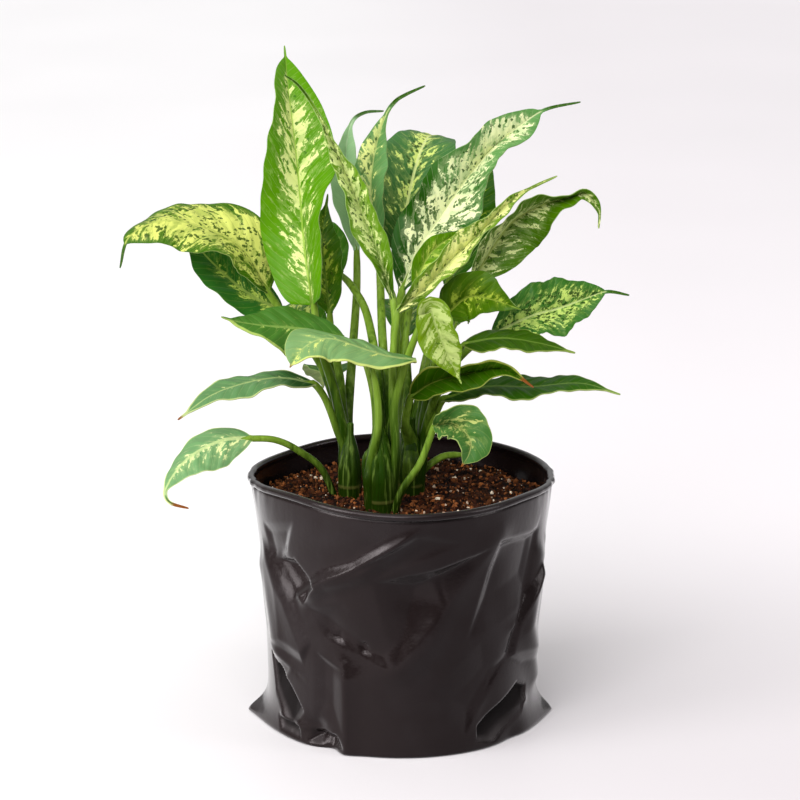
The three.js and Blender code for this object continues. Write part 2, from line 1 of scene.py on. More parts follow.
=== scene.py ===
"""A potted dieffenbachia in a black film nursery bag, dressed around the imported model.

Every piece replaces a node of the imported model, keeps that node's form and adds its finish. The
tables are in millimetres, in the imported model's frame, whose front faces -Y. A piece is brought
to metres when its mesh is made.
"""

import logging
import math
from collections.abc import Callable, Mapping, Sequence
from dataclasses import dataclass, field
from enum import Enum

import bpy
import numpy as np
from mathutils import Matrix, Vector, noise


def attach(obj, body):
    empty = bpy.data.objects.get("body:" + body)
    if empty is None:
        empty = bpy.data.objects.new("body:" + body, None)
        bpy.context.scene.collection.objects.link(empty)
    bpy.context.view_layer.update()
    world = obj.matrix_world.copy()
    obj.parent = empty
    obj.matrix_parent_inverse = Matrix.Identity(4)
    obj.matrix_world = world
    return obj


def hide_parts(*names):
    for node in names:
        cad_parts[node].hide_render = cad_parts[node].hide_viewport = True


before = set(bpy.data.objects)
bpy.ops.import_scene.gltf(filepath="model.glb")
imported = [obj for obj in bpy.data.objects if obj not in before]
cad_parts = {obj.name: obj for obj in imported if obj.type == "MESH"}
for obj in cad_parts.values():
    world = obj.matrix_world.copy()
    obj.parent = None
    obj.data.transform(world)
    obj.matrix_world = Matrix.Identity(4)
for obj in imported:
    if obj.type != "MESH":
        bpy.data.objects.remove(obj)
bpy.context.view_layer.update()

LOG = logging.getLogger("plant")
MM = 0.001
Array = np.ndarray
Point = tuple[float, float, float]
Points = tuple[Point, ...]
Route = tuple[tuple[float, float], ...]
Piece = bpy.types.Object
Material = bpy.types.Material
Socket = bpy.types.NodeSocket


class Stand(Enum):
    """The three stalks, by the names of their nodes."""

    LEFT = "stalk_left"
    CENTRE = "stalk_centre"
    RIGHT = "stalk_right"


LEFT, CENTRE, RIGHT = Stand


# ---------------------------------------- materials: the node helper


def tint(code: str) -> tuple[float, ...]:
    """The linear colour, with alpha, for a screen colour's code such as "#6a8f1c"."""
    parts = [int(code[k : k + 2], 16) / 255 for k in (1, 3, 5)]
    linear = [c / 12.92 if c <= 0.04045 else ((c + 0.055) / 1.055) ** 2.4 for c in parts]
    return (*linear, 1.0)


class Amount:
    """A number that varies over a surface: a shader socket with Python's arithmetic."""

    def __init__(self, paint: "Paint", socket: Socket) -> None:
        """Keeps the socket and the paint that its next nodes go into."""
        self.paint = paint
        self.socket = socket

    def through(
        self, operation: str, *others: "Amount | float", first: float | None = None
    ) -> "Amount":
        """Sends the number through a Math node.

        Args:
            operation: the Math node's operation.
            others: what goes into the node's other sockets.
            first: a plain number for the first socket; this number then goes into the second.

        Returns:
            The node's result.
        """
        values = [self, *others] if first is None else [first, self]
        made = self.paint.node("ShaderNodeMath", dict(enumerate(values)), operation=operation)
        return Amount(self.paint, made.outputs[0])

    def __add__(self, other: "Amount | float") -> "Amount":
        """self + other."""
        return self.through("ADD", other)

    def __radd__(self, other: float) -> "Amount":
        """other + self."""
        return self.through("ADD", other)

    def __sub__(self, other: "Amount | float") -> "Amount":
        """self - other."""
        return self.through("SUBTRACT", other)

    def __rsub__(self, other: float) -> "Amount":
        """other - self."""
        return self.through("SUBTRACT", first=other)

    def __mul__(self, other: "Amount | float") -> "Amount":
        """self * other."""
        return self.through("MULTIPLY", other)

    def __rmul__(self, other: float) -> "Amount":
        """other * self."""
        return self.through("MULTIPLY", other)

    def __truediv__(self, other: "Amount | float") -> "Amount":
        """self / other."""
        return self.through("DIVIDE", other)

    def __abs__(self) -> "Amount":
        """The number without its sign."""
        return self.through("ABSOLUTE")

    def wave(self, length: float) -> "Amount":
        """A cosine of that wavelength, between -1 and 1."""
        return (self * (2 * math.pi / length)).through("COSINE")

    def ramp(self, low: float, high: float, start: float, end: float) -> "Amount":
        """Goes smoothly from start, where this number is low, to end, where it is high."""
        ends = {1: low, 2: high, 3: start, 4: end}
        made = self.paint.node(
            "ShaderNodeMapRange", {0: self, **ends}, interpolation_type="SMOOTHSTEP"
        )
        return Amount(self.paint, made.outputs[0])

    def step(self, low: float, high: float) -> "Amount":
        """Rises smoothly from 0 at low to 1 at high; low may be the higher of the two."""
        return self.ramp(min(low, high), max(low, high), float(low > high), float(high > low))


Socketed = Amount | Socket | float | str | tuple


class Paint:
    """The nodes of one material, or of the sky."""

    def __init__(self, owner: Material | bpy.types.World) -> None:
        """Starts an empty node tree for its owner."""
        self.owner = owner
        owner.use_nodes = True
        self.tree = owner.node_tree
        self.tree.nodes.clear()

    def node(
        self, kind: str, sockets: Mapping[int | str, Socketed] | None = None, **settings: object
    ) -> bpy.types.Node:
        """Adds a node.

        Args:
            kind: the node's type.
            sockets: a value, a colour's code or a link for each socket, by number or name.
            settings: its properties, set before its sockets.

        Returns:
            The node.
        """
        made = self.tree.nodes.new(kind)
        for name, value in settings.items():
            setattr(made, name, value)
        for key, value in (sockets or {}).items():
            source = value.socket if isinstance(value, Amount) else value
            if isinstance(source, Socket):
                self.tree.links.new(source, made.inputs[key])
            else:
                plain = tint(source) if isinstance(source, str) else source
                made.inputs[key].default_value = plain
        return made

    def places(self) -> Socket:
        """The surface's own place, in metres."""
        return self.node("ShaderNodeTexCoord").outputs["Object"]

    def split(self, place: Socketed) -> tuple[Amount, ...]:
        """The three numbers that a place is made of."""
        parts = self.node("ShaderNodeSeparateXYZ", {0: place})
        return tuple(Amount(self, out) for out in parts.outputs)

    def marks(self, name: str) -> tuple[Amount, ...]:
        """The three numbers that a mesh keeps at each point under that name."""
        return self.split(self.node("ShaderNodeAttribute", attribute_name=name).outputs["Vector"])

    def at(self, x: Socketed, y: Socketed, z: Socketed) -> Socket:
        """A place made of three numbers."""
        return self.node("ShaderNodeCombineXYZ", {0: x, 1: y, 2: z}).outputs[0]

    def stretched(self, place: Socketed, by: Point) -> Socket:
        """A place multiplied along each axis."""
        made = self.node("ShaderNodeVectorMath", {0: place, 1: by}, operation="MULTIPLY")
        return made.outputs[0]

    def cloud(
        self, place: Socketed, scale: float = 1.0, detail: float = 2, rough: float = 0.5
    ) -> Amount:
        """A noise of mean 0.5, spread out to fill most of 0 to 1.

        Args:
            place: where it is read.
            scale: how many of its features fit in one unit of place.
            detail: how many finer layers it has.
            rough: how strong the finer layers are.

        Returns:
            The noise.
        """
        sockets = {"Vector": place, "Scale": scale, "Detail": detail, "Roughness": rough}
        made = self.node("ShaderNodeTexNoise", sockets, noise_dimensions="3D")
        return (Amount(self, made.outputs[0]) - 0.5) * 2.0 + 0.5

    def cells(self, place: Socketed) -> Amount:
        """A random number, 0 to 1, for each of the small cells that fill space, one to a unit."""
        made = self.node("ShaderNodeTexVoronoi", {"Vector": place, "Scale": 1.0})
        return self.split(made.outputs["Color"])[0]

    def layers(
        self, under: Socketed, *over: tuple[Amount | float, Socketed]
    ) -> Socket:
        """Lays colours over one another.

        Args:
            under: the lowest colour.
            over: for each layer, from below, how much of it shows, 0 to 1, and its colour.

        Returns:
            The colour that is seen.
        """
        for share, colour in over:
            made = self.node("ShaderNodeMix", {0: share, 6: under, 7: colour}, data_type="RGBA")
            under = made.outputs[2]
        return under

    def richer(self, colour: Socketed, saturation: float, value: float) -> Socket:
        """A colour with its saturation and its value multiplied."""
        sockets = {"Color": colour, "Saturation": saturation, "Value": value}
        return self.node("ShaderNodeHueSaturation", sockets).outputs[0]

    def relief(self, height: Amount, depth: float) -> Socket:
        """A normal bent by a height map, whose 0 to 1 stands for that many millimetres."""
        sockets = {"Strength": 1.0, "Distance": depth * MM, "Height": height}
        return self.node("ShaderNodeBump", sockets).outputs[0]

    def done(self, sockets: Mapping[str, Socketed], glow: float = 0) -> Material:
        """Closes the material with a general shader.

        Args:
            sockets: what its sockets hold.
            glow: the share of the light that shines through, as in a leaf.

        Returns:
            The material.
        """
        shader = self.node("ShaderNodeBsdfPrincipled", sockets).outputs[0]
        if glow:
            bent = {"Color": sockets["Base Color"], "Normal": sockets["Normal"]}
            through = self.node("ShaderNodeBsdfTranslucent", bent).outputs[0]
            shader = self.node("ShaderNodeMixShader", {0: glow, 1: shader, 2: through}).outputs[0]
        self.node("ShaderNodeOutputMaterial", {"Surface": shader})
        return self.owner


# ---------------------------------------- meshes: shared ways of making


def put_points(piece: Piece, places: Array) -> None:
    """Moves every point of a piece's mesh to its place, given in millimetres."""
    piece.data.vertices.foreach_set("co", (places * MM).astype(np.float32).ravel())
    piece.data.update()


def points_of(piece: Piece) -> Array:
    """The places of a piece's points, in millimetres."""
    flat = np.empty(len(piece.data.vertices) * 3, np.float32)
    piece.data.vertices.foreach_get("co", flat)
    return flat.reshape(-1, 3).astype(float) / MM


def put_marks(piece: Piece, name: str, values: Array) -> None:
    """Keeps three numbers at each point of a mesh, for its material to read."""
    marks = piece.data.attributes.new(name, "FLOAT_VECTOR", "POINT")
    marks.data.foreach_set("vector", values.astype(np.float32).ravel())


def pick(piece: Piece | None = None) -> None:
    """Clears the selection, then picks that piece, so that an operator acts on it alone."""
    bpy.ops.object.select_all(action="DESELECT")
    if piece:
        piece.select_set(True)
        bpy.context.view_layer.objects.active = piece


def shaped_sheet(
    name: str, columns: int, rows: int, place: Callable[[Array, Array], Array]
) -> tuple[Piece, Array, Array]:
    """Adds a flat grid and moves each of its points to its place.

    Args:
        name: the piece's name.
        columns: how many faces it has across.
        rows: how many faces it has along.
        place: takes the points' shares across and along, 0 to 1, and gives their places.

    Returns:
        The piece, and its points' shares across and along.
    """
    pick()
    bpy.ops.mesh.primitive_grid_add(x_subdivisions=columns, y_subdivisions=rows, size=1)
    sheet = bpy.context.object
    sheet.name = sheet.data.name = name
    across, along, _ = (points_of(sheet) * MM + 0.5).T
    across, along = np.clip(across, 0, 1), np.clip(along, 0, 1)
    put_points(sheet, place(across, along))
    return sheet, across, along


def close_seams(piece: Piece) -> None:
    """Joins the points that lie on each other, such as a tube's seam and its ends."""
    pick(piece)
    bpy.ops.object.mode_set(mode="EDIT")
    bpy.ops.mesh.select_all(action="SELECT")
    bpy.ops.mesh.remove_doubles(threshold=2e-6)
    bpy.ops.mesh.dissolve_degenerate(threshold=1e-6)
    bpy.ops.mesh.select_all(action="SELECT")
    bpy.ops.mesh.normals_make_consistent(inside=False)
    bpy.ops.object.mode_set(mode="OBJECT")


def thicken(piece: Piece, thickness: float) -> None:
    """Gives a sheet a second face, that many millimetres under the first."""
    pick(piece)
    made = piece.modifiers.new("solidify", "SOLIDIFY")
    made.thickness, made.offset = thickness * MM, -1.0
    bpy.ops.object.modifier_apply(modifier=made.name)


def smooth(piece: Piece, angle: float) -> None:
    """Shades a piece smooth, except over edges sharper than that many degrees."""
    pick(piece)
    bpy.ops.object.shade_smooth_by_angle(angle=math.radians(angle))


def settle(piece: Piece, node: str, material: Material) -> None:
    """Dresses a piece, and lets it ride and stand for its node.

    Args:
        piece: the finished piece.
        node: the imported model's node that it replaces.
        material: its finish.
    """
    piece.data.materials.clear()
    piece.data.materials.append(material)
    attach(piece, "root")
    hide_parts(node)
    LOG.info("%s: %d faces, stands for %s", piece.name, len(piece.data.polygons), node)


def unit(vectors: Array) -> Array:
    """Vectors brought to length 1."""
    return vectors / np.maximum(np.linalg.norm(vectors, axis=-1, keepdims=True), 1e-12)


def clipped(values: Array) -> Array:
    """Values kept between 0 and 1."""
    return np.clip(values, 0, 1)


class Spline:
    """A smooth curve through points, walked by even shares of its length."""

    def __init__(self, points: Sequence[Sequence[float]]) -> None:
        """Measures the curve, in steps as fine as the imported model's own."""
        self.points = np.asarray(points, float)
        self.places = np.linspace(0, 1, 201)
        gaps = np.linalg.norm(np.diff(self.at(self.places), axis=0), axis=1)
        self.lengths = np.concatenate([[0], np.cumsum(gaps)])
        self.length = float(self.lengths[-1])

    def at(self, places: Array) -> Array:
        """The curve's points at shares of its course, point to point."""
        points = self.points
        ends = [2 * points[0] - points[1]], [2 * points[-1] - points[-2]]
        padded = np.concatenate([ends[0], points, ends[1]])
        course = np.asarray(places, float) * (len(points) - 1)
        index = np.clip(course.astype(int), 0, len(points) - 2)
        t = (course - index)[:, None]
        before, start, end, after = (padded[index + k] for k in range(4))
        leave, arrive = (end - before) / 2, (after - start) / 2
        cubic = (2 * start - 2 * end + leave + arrive) * t**3
        square = (-3 * start + 3 * end - 2 * leave - arrive) * t**2
        return cubic + square + leave * t + start

    def even(self, shares: Array) -> Array:
        """Turns shares of the length into shares of the course."""
        return np.interp(np.asarray(shares) * self.length, self.lengths, self.places)

    def heading(self, places: Array) -> Array:
        """The curve's direction at shares of its course."""
        return unit(self.at(clipped(places + 1e-4)) - self.at(clipped(places - 1e-4)))


def turned_frames(centres: Array, first: Array) -> tuple[Array, Array]:
    """Two directions square to a route, carried along it without twisting.

    Args:
        centres: the route's points.
        first: the direction that the first of the two starts from.

    Returns:
        The two directions at each point.
    """
    heading = unit(np.gradient(centres, axis=0))
    normals = [first]
    for ahead in heading:
        last = normals[-1]
        normals.append(unit(last - ahead * (last @ ahead)))
    normal = np.array(normals[1:])
    return normal, np.cross(heading, normal)


CAP_ROWS = 3  # rows of faces that round off each end of a tube
CAP_BULGE = 0.5  # how far an end bulges, as a share of its half width


def tube(
    name: str,
    centres: Array,
    radii: Callable[[Array, Array], tuple[Array, Array, Array]],
    first: Array,
    sides: int,
) -> tuple[Piece, Array]:
    """Rolls a sheet round a route and closes its seam and ends.

    Args:
        name: the piece's name.
        centres: the route, one point for each ring.
        radii: takes turns round the route and shares along it, and gives the two half widths and
            how far the point is drawn back, so that a sheath can wrap a cane.
        first: the direction of turn 0.
        sides: how many faces it has round the route.

    Returns:
        The piece, and how far along the route each of its points lies, 0 to 1.
    """
    normal, side = turned_frames(centres, first)
    steps = len(centres) - 1

    def place(around: Array, along: Array) -> Array:
        """Gives each point of the flat grid its place on the tube."""
        row = np.rint(along * (steps + 2 * CAP_ROWS)).astype(int)
        ring = np.clip(row - CAP_ROWS, 0, steps)
        past = np.maximum(CAP_ROWS - row, 0) + np.maximum(row - CAP_ROWS - steps, 0)
        close = np.cos(past / CAP_ROWS * math.pi / 2)
        turn = 2 * math.pi * around
        wide, deep, back = radii(turn, ring / steps)
        end = np.where(row < CAP_ROWS, -1, 1)
        bulge = end * np.sin(past / CAP_ROWS * math.pi / 2) * CAP_BULGE
        heading = unit(np.gradient(centres, axis=0))[ring]
        return (
            centres[ring]
            + normal[ring] * ((deep * np.cos(turn) - back) * close)[:, None]
            + side[ring] * (wide * np.sin(turn) * close)[:, None]
            + heading * (bulge * deep)[:, None]
        )

    piece, _, _ = shaped_sheet(name, sides, steps + 2 * CAP_ROWS, place)
    close_seams(piece)
    places = points_of(piece)
    nearest = ((places[:, None, :] - centres[None]) ** 2).sum(2).argmin(1)
    return piece, nearest / steps


# ---------------------------------------- the leaves' tables


@dataclass(frozen=True)
class Eye:
    """Where the front is seen from: the leaves are measured square to this line of sight."""

    down: float = 14.0
    distance: float = 1600.0
    centre: Point = (-1.0, 0.0, 182.0)

    def place(self, points: Array | Points) -> Array:
        """Brings points from across, up and toward the viewer to the model's x, y and z.

        Args:
            points: millimetres from the plant's middle, last axis across, up, toward.

        Returns:
            The same points in millimetres.
        """
        across, up, toward = np.moveaxis(np.asarray(points, float), -1, 0)
        shrink = 1 - toward / self.distance
        low, high = math.sin(math.radians(self.down)), math.cos(math.radians(self.down))
        x = across * shrink
        y = up * shrink * low - toward * high
        z = up * shrink * high + toward * low
        return np.stack([x, y, z], -1) + np.array(self.centre)


EYE = Eye()


@dataclass(frozen=True)
class LeafShape:
    """One leaf: the route of its stem and the form of its blade.

    `stem` and `rib` run from the stalk to the tip, as across, up and toward the viewer. `half` is
    the widest half blade, `widest` how far along it lies, and `tail` the share that is drawn out.
    `left` and `right` are the angles by which the half blades turn out of the plane square to
    `face`, and `waves` holds how many waves an edge has, how high they are and where they start.
    `girth` is the stem's radius at its foot, and `seat` is where the stem meets the blade, if
    that isn't at its base.
    """

    stalk: Stand
    stem: Points
    rib: Points
    half: float
    widest: float
    tail: float
    left: tuple[float, ...]
    right: tuple[float, ...]
    waves: Point
    face: Point = (0, 0, 1)
    seat: Point | None = None
    girth: float = 4.2
    shoulder: float = 0.62
    taper: float = 1.15

    def frames(self, share: Array) -> tuple[Array, Array, Array]:
        """The rib's place, side and normal at shares of its length, seen from the eye.

        Args:
            share: shares from 0 at the base to 1 at the tip.

        Returns:
            Places, directions to the right, and normals.
        """
        rib = Spline(self.rib)
        course = rib.even(share)
        along = rib.heading(course)
        side = unit(np.cross(along, unit(np.array(self.face, float))))
        return rib.at(course), side, np.cross(side, along)


def far_leaf(
    stalk: Stand,
    stem: Points,
    rib: Points,
    half: float,
    waves: Point,
    turns: tuple[float, ...] = (20, 18, 15, 0),
) -> LeafShape:
    """A made-up leaf on the far side, which tips back and whose halves turn alike."""
    return LeafShape(stalk, stem, rib, half, 0.45, 0.05, turns, turns, waves, face=(0, 0.8, 0.6))


LEAVES: dict[str, LeafShape] = {
    "leaf_01": LeafShape(LEFT, ((-31, -22, -12), (-36, 4, -10), (-44, 30, -6)), ((-48, 53, -4),
        (-52, 80, -7), (-55, 111, -13), (-58, 139, -21), (-62, 172, -35), (-64, 196, -53)), 24.5,
        0.48, 0.05, (0, -5, 18, 56, 56, 40), (70, 68, 52, 12, 0, 0), (3, 2.2, 0.2), shoulder=0.22,
        taper=0.8),
    "leaf_02": LeafShape(LEFT, ((-31, -22, -20), (-33, 10, -26), (-38, 36, -26)), ((-39, 48, -25),
        (-41, 67, -26), (-43, 89, -30), (-40, 114, -40)), 12, 0.4, 0.06, (20, 15, 20, 20),
        (30, 30, 30, 20), (2, 1.6, 0.5)),
    "leaf_03": LeafShape(CENTRE, ((-2, 8, 22), (-2, 34, 20)), ((-4, 56, 16), (-11, 78, 12),
        (-19, 98, 8), (-27, 118, 4), (-36, 139, 2), (-47, 161, 2), (-56, 174, 2), (-64, 180, 2)),
        12.5, 0.4, 0.16, (60, 55, 50, 58, 62, 55, 40, 20), (60, 50, 48, 55, 65, 55, 40, 20),
        (3, 1.4, 0.1)),
    "leaf_04": LeafShape(LEFT, ((-32, -14, -20), (-44, 20, -24), (-62, 44, -20)), ((-73, 60, -14),
        (-87, 83, -8), (-108, 95, 0), (-132, 99, 6), (-150, 90, 10), (-155, 73, 12)), 22, 0.4, 0.12,
        (60, 64, 56, 26, 15, 10), (-20, -18, -50, -74, -60, 0), (3, 2.4, 0.3), taper=0.62),
    "leaf_05": LeafShape(LEFT, ((-32, -12, -26), (-40, 18, -34), (-54, 38, -32)), ((-65, 49, -28),
        (-83, 58, -26), (-100, 72, -26), (-114, 87, -30), (-120, 98, -36)), 16, 0.45, 0.05,
        (40, 40, 42, 40, 20), (-20, -20, -25, -20, 0), (2, 1.9, 0.6)),
    "leaf_06": LeafShape(CENTRE, ((-13, -24, 20), (-14, 2, 24), (-21, 26, 17)), ((-31, 34, 14),
        (-53, 39, 18), (-75, 41, 24), (-89, 43, 28), (-99, 46, 32)), 17, 0.42, 0.05,
        (30, 15, 42, 45, 20), (-45, -50, -50, -40, 0), (2, 2.2, 0.1)),
    "leaf_07": LeafShape(CENTRE, ((-16, -34, 24), (-12, -14, 33), (-13, 6, 40)), ((9, 22, 41),
        (-6, 24, 45), (-21, 28.5, 48), (-36, 33.5, 51), (-46, 33, 54), (-55, 27, 57),
        (-61, 18, 60)), 16, 0.66, 0.02, (62, 55, 48, 38, 36, 50, 40),
        (-60, -72, -78, -78, -58, -15, 0), (2, 1.6, 0.4), girth=3.6, seat=(-16, 20, 46),
        taper=0.65),
    "leaf_08": LeafShape(LEFT, ((-31, -30, -12), (-35, -16, -10), (-41, 0, -7)), ((-47, 9, -4),
        (-67, 12, 4), (-86, 9, 10), (-105, 2, 16), (-123, -11, 22)), 13, 0.5, 0.05,
        (60, 62, 58, 55, 20), (-60, -68, -66, -58, -10), (2, 1.6, 0.8), girth=3),
    "leaf_09": LeafShape(LEFT, ((-42, -40, -8), (-56, -28, 0), (-69, -22, 6)), ((-82, -21, 10),
        (-97, -22, 14), (-111, -28, 18), (-121, -36, 22), (-128, -46, 26), (-130, -52, 27),
        (-127, -57, 28), (-117, -60, 28)), 15, 0.4, 0.2, (20, 15, 15, 25, 30, 20, 10, 0),
        (-45, -58, -62, -62, -50, -20, -10, 0), (2, 1.4, 0.5), girth=2.4),
    "leaf_10": LeafShape(LEFT, ((-29, -12, -30), (-26, 30, -44), (-24, 60, -50)), ((-24, 83, -52),
        (-28, 111, -54), (-30, 136, -58), (-27, 153, -62), (-20, 159, -64), (-9, 160, -64)), 11,
        0.45, 0.2, (40, 40, 35, 30, 20, 0), (40, 40, 40, 30, 20, 0), (2, 1.4, 0.2)),
    "leaf_11": LeafShape(CENTRE, ((-8, 0, 6), (-10, 40, -8), (-11, 68, -20)), ((-12, 89, -26),
        (-16, 114, -30), (-14, 136, -34), (-8, 157, -38), (-3, 165, -40), (3, 169, -40),
        (14, 174, -40)), 13, 0.35, 0.24, (30, 25, 25, 30, 20, 10, 0), (50, 55, 52, 45, 20, 10, 0),
        (2, 1.4, 0.7)),
    "leaf_12": LeafShape(RIGHT, ((5, -8, -26), (3, 30, -38), (1, 58, -46)), ((2, 77, -50),
        (3, 101, -56), (8, 126, -66), (14, 143, -84), (19, 146, -110), (22, 138, -132)), 24, 0.38,
        0.04, (38, 25, 12, 0, 0, 0), (38, 30, 20, 10, 5, 0), (3, 1.8, 0.4), face=(0, 0.6, 0.8),
        taper=1.4),
    "leaf_13": LeafShape(CENTRE, ((-2, 4, 16), (-3, 38, 8)), ((1, 61, 0), (10, 83, -6),
        (21, 99, -12), (36, 121, -18), (51, 139, -24), (68, 153, -26), (81, 161, -26),
        (100, 165, -24)), 21, 0.42, 0.15, (10, 5, 14, 30, 40, 20, 10, 0),
        (40, 38, 35, 48, 76, 18, 10, 0), (4, 3, 0.15), taper=0.6),
    "leaf_14": LeafShape(RIGHT, ((12, 0, -22), (20, 36, -30), (26, 60, -33)), ((29, 73, -34),
        (39, 97, -38), (47, 117, -42), (52, 133, -46)), 12, 0.45, 0.05, (30, 30, 30, 20),
        (30, 20, 20, 20), (2, 1.6, 0.6)),
    "leaf_15": LeafShape(CENTRE, ((-4, -8, 26), (-4, 24, 26)), ((-1, 49, 25), (14, 62, 26),
        (28, 77, 26), (44, 92, 24), (58, 107, 22), (72, 117, 20), (87, 124, 18)), 11, 0.35, 0.1,
        (50, 46, 42, 44, 50, 50, 20), (50, 58, 64, 64, 62, 50, 20), (3, 2.2, 0.5)),
    "leaf_16": LeafShape(RIGHT, ((14, 4, -12), (24, 34, -6), (34, 54, -2)), ((40, 66, 0),
        (50, 83, 0), (62, 99, 0), (78, 108, 2), (92, 112, 4), (103, 114, 6), (110, 105, 8),
        (110, 95, 8)), 20, 0.34, 0.05, (60, 72, 76, 76, 76, 70, 40, 0),
        (30, 8, 2, 20, 60, 66, 30, 0), (3, 2.2, 0.3)),
    "leaf_17": LeafShape(CENTRE, ((0, 10, 22), (4, 44, 17)), ((8, 62, 14), (14, 77, 12),
        (22, 86, 8), (37, 95, 2)), 8, 0.4, 0.06, (30, 30, 30, 20), (30, 25, 20, 20), (1, 1.1, 0.2)),
    "leaf_18": LeafShape(RIGHT, ((13, -10, -10), (19, 20, 2)), ((25, 47, 14), (38, 57, 22),
        (53, 55, 32), (67, 50, 40)), 16, 0.4, 0.04, (30, 25, 20, 20), (30, 30, 30, 20),
        (2, 2.2, 0.7)),
    "leaf_19": LeafShape(RIGHT, ((16, -8, -12), (27, 16, -4), (41, 31, 2)), ((51, 36, 5),
        (72, 46, 10), (89, 51, 14), (105, 57, 18), (115, 60, 20), (127, 58, 22)), 18, 0.55, 0.16,
        (20, 12, 14, 16, 10, 0), (45, 50, 38, 40, 20, 0), (5, 2.2, 0.1), taper=0.8),
    "leaf_20": LeafShape(RIGHT, ((14, -16, -8), (20, 4, 10), (28, 20, 24)), ((35, 31, 32),
        (56, 34, 37), (78, 31, 42), (97, 26, 46)), 14, 0.4, 0.05, (-60, -66, -66, -40),
        (55, 60, 62, 30), (2, 1.4, 0.3)),
    "leaf_21": LeafShape(RIGHT, ((6, -24, -8), (3, -12, 4)), ((6, 2, 14), (19, 10, 22),
        (39, 15, 30), (58, 17, 38), (74, 7, 44)), 14, 0.4, 0.05, (40, 50, 64, 64, 30),
        (40, 48, 50, 45, 20), (2, 1.6, 0.5)),
    "leaf_22": LeafShape(RIGHT, ((11, -30, -16), (17, -14, -4)), ((23, 0, 3), (47, 7, 12),
        (72, 7, 18), (100, 9, 24), (122, 3, 28)), 13, 0.5, 0.05, (-60, -64, -62, -60, -20),
        (60, 62, 62, 58, 20), (3, 1.4, 0.2)),
    "leaf_23": LeafShape(CENTRE, ((-3, -4, 28), (3, 20, 34)), ((11, 42, 40), (17, 49, 42),
        (20, 41, 46), (26, 26, 49), (34, 9, 50)), 13, 0.5, 0.04, (30, 30, 35, 40, 20),
        (20, 20, 20, 20, 10), (2, 1.4, 0.5)),
    "leaf_24": LeafShape(CENTRE, ((0, -52, 26), (11, -35, 31)), ((19, -14, 35), (28, -13.5, 41),
        (35, -17, 47), (39, -23, 52), (38, -30, 56), (34, -37, 58)), 15.5, 0.48, 0.04,
        (72, 60, 32, 10, 5, 10), (50, 56, 46, 40, 36, 30), (3, 2.2, 0.55), girth=2.4, taper=0.85),
    "leaf_25": far_leaf(CENTRE, ((-12, 10, 8), (-18, 46, -14), (-26, 62, -26)), ((-33, 70, -38),
        (-46, 84, -58), (-58, 93, -80), (-69, 92, -102)), 18, (2, 1.6, 0.1)),
    "leaf_26": far_leaf(LEFT, ((-32, -18, -22), (-33, 4, -32)), ((-36, 13, -42), (-38, 16, -62),
        (-41, 15, -86), (-43, 6, -108)), 15, (2, 1.4, 0.6), (20, 15, 10, 0)),
    "leaf_27": far_leaf(RIGHT, ((12, 10, -30), (20, 44, -42)), ((26, 64, -52), (32, 83, -76),
        (37, 92, -105), (39, 89, -130)), 17, (2, 1.6, 0.4)),
    "leaf_28": far_leaf(RIGHT, ((3, -12, -30), (1, 14, -38)), ((2, 34, -46), (4, 46, -70),
        (5, 51, -100), (5, 43, -126)), 16, (2, 1.4, 0.2)),
    "leaf_29": far_leaf(RIGHT, ((14, -8, -24), (22, 26, -28)), ((30, 42, -34), (42, 52, -58),
        (50, 55, -84), (57, 50, -108)), 15, (2, 1.4, 0.8)),
    "leaf_30": far_leaf(LEFT, ((-32, -14, -26), (-37, 22, -38)), ((-43, 38, -48), (-56, 46, -70),
        (-67, 48, -95), (-77, 42, -118)), 15, (2, 1.4, 0.5)),
}


@dataclass(frozen=True)
class LeafLook:
    """The colours of one blade and where its pale patches lie.

    `pale` holds rows of how far along, and how much of the left and the right half is pale there.
    `grain` is the size of a speckle in millimetres, `patch` of a patch, and `streak` how many times
    longer they are along the side veins. `edge` is small where the paleness fades from the midrib
    on and large where it ends near the edge. The deep green reaches from the base to `fade` of the
    blade's length. `specks` is how much of the pale area is freckled dark, `dry` the share of the
    tip that has turned brown, and `margin` how many millimetres of the left and the right edge
    are yellow.
    """

    green: str
    deep: str
    cream: str
    rib: str
    pale: tuple[Point, ...]
    grain: float = 1.8
    patch: float = 5.0
    streak: float = 1.5
    edge: float = 2.0
    fade: float = -0.5
    specks: float = 0.1
    dry: float = 0.0
    margin: tuple[float, float] = (0.0, 0.0)
    under: str = "#8fab66"
    gloss: float = 0.36


PLAIN = ((0, 0.02, 0.02), (1, 0.02, 0.02))

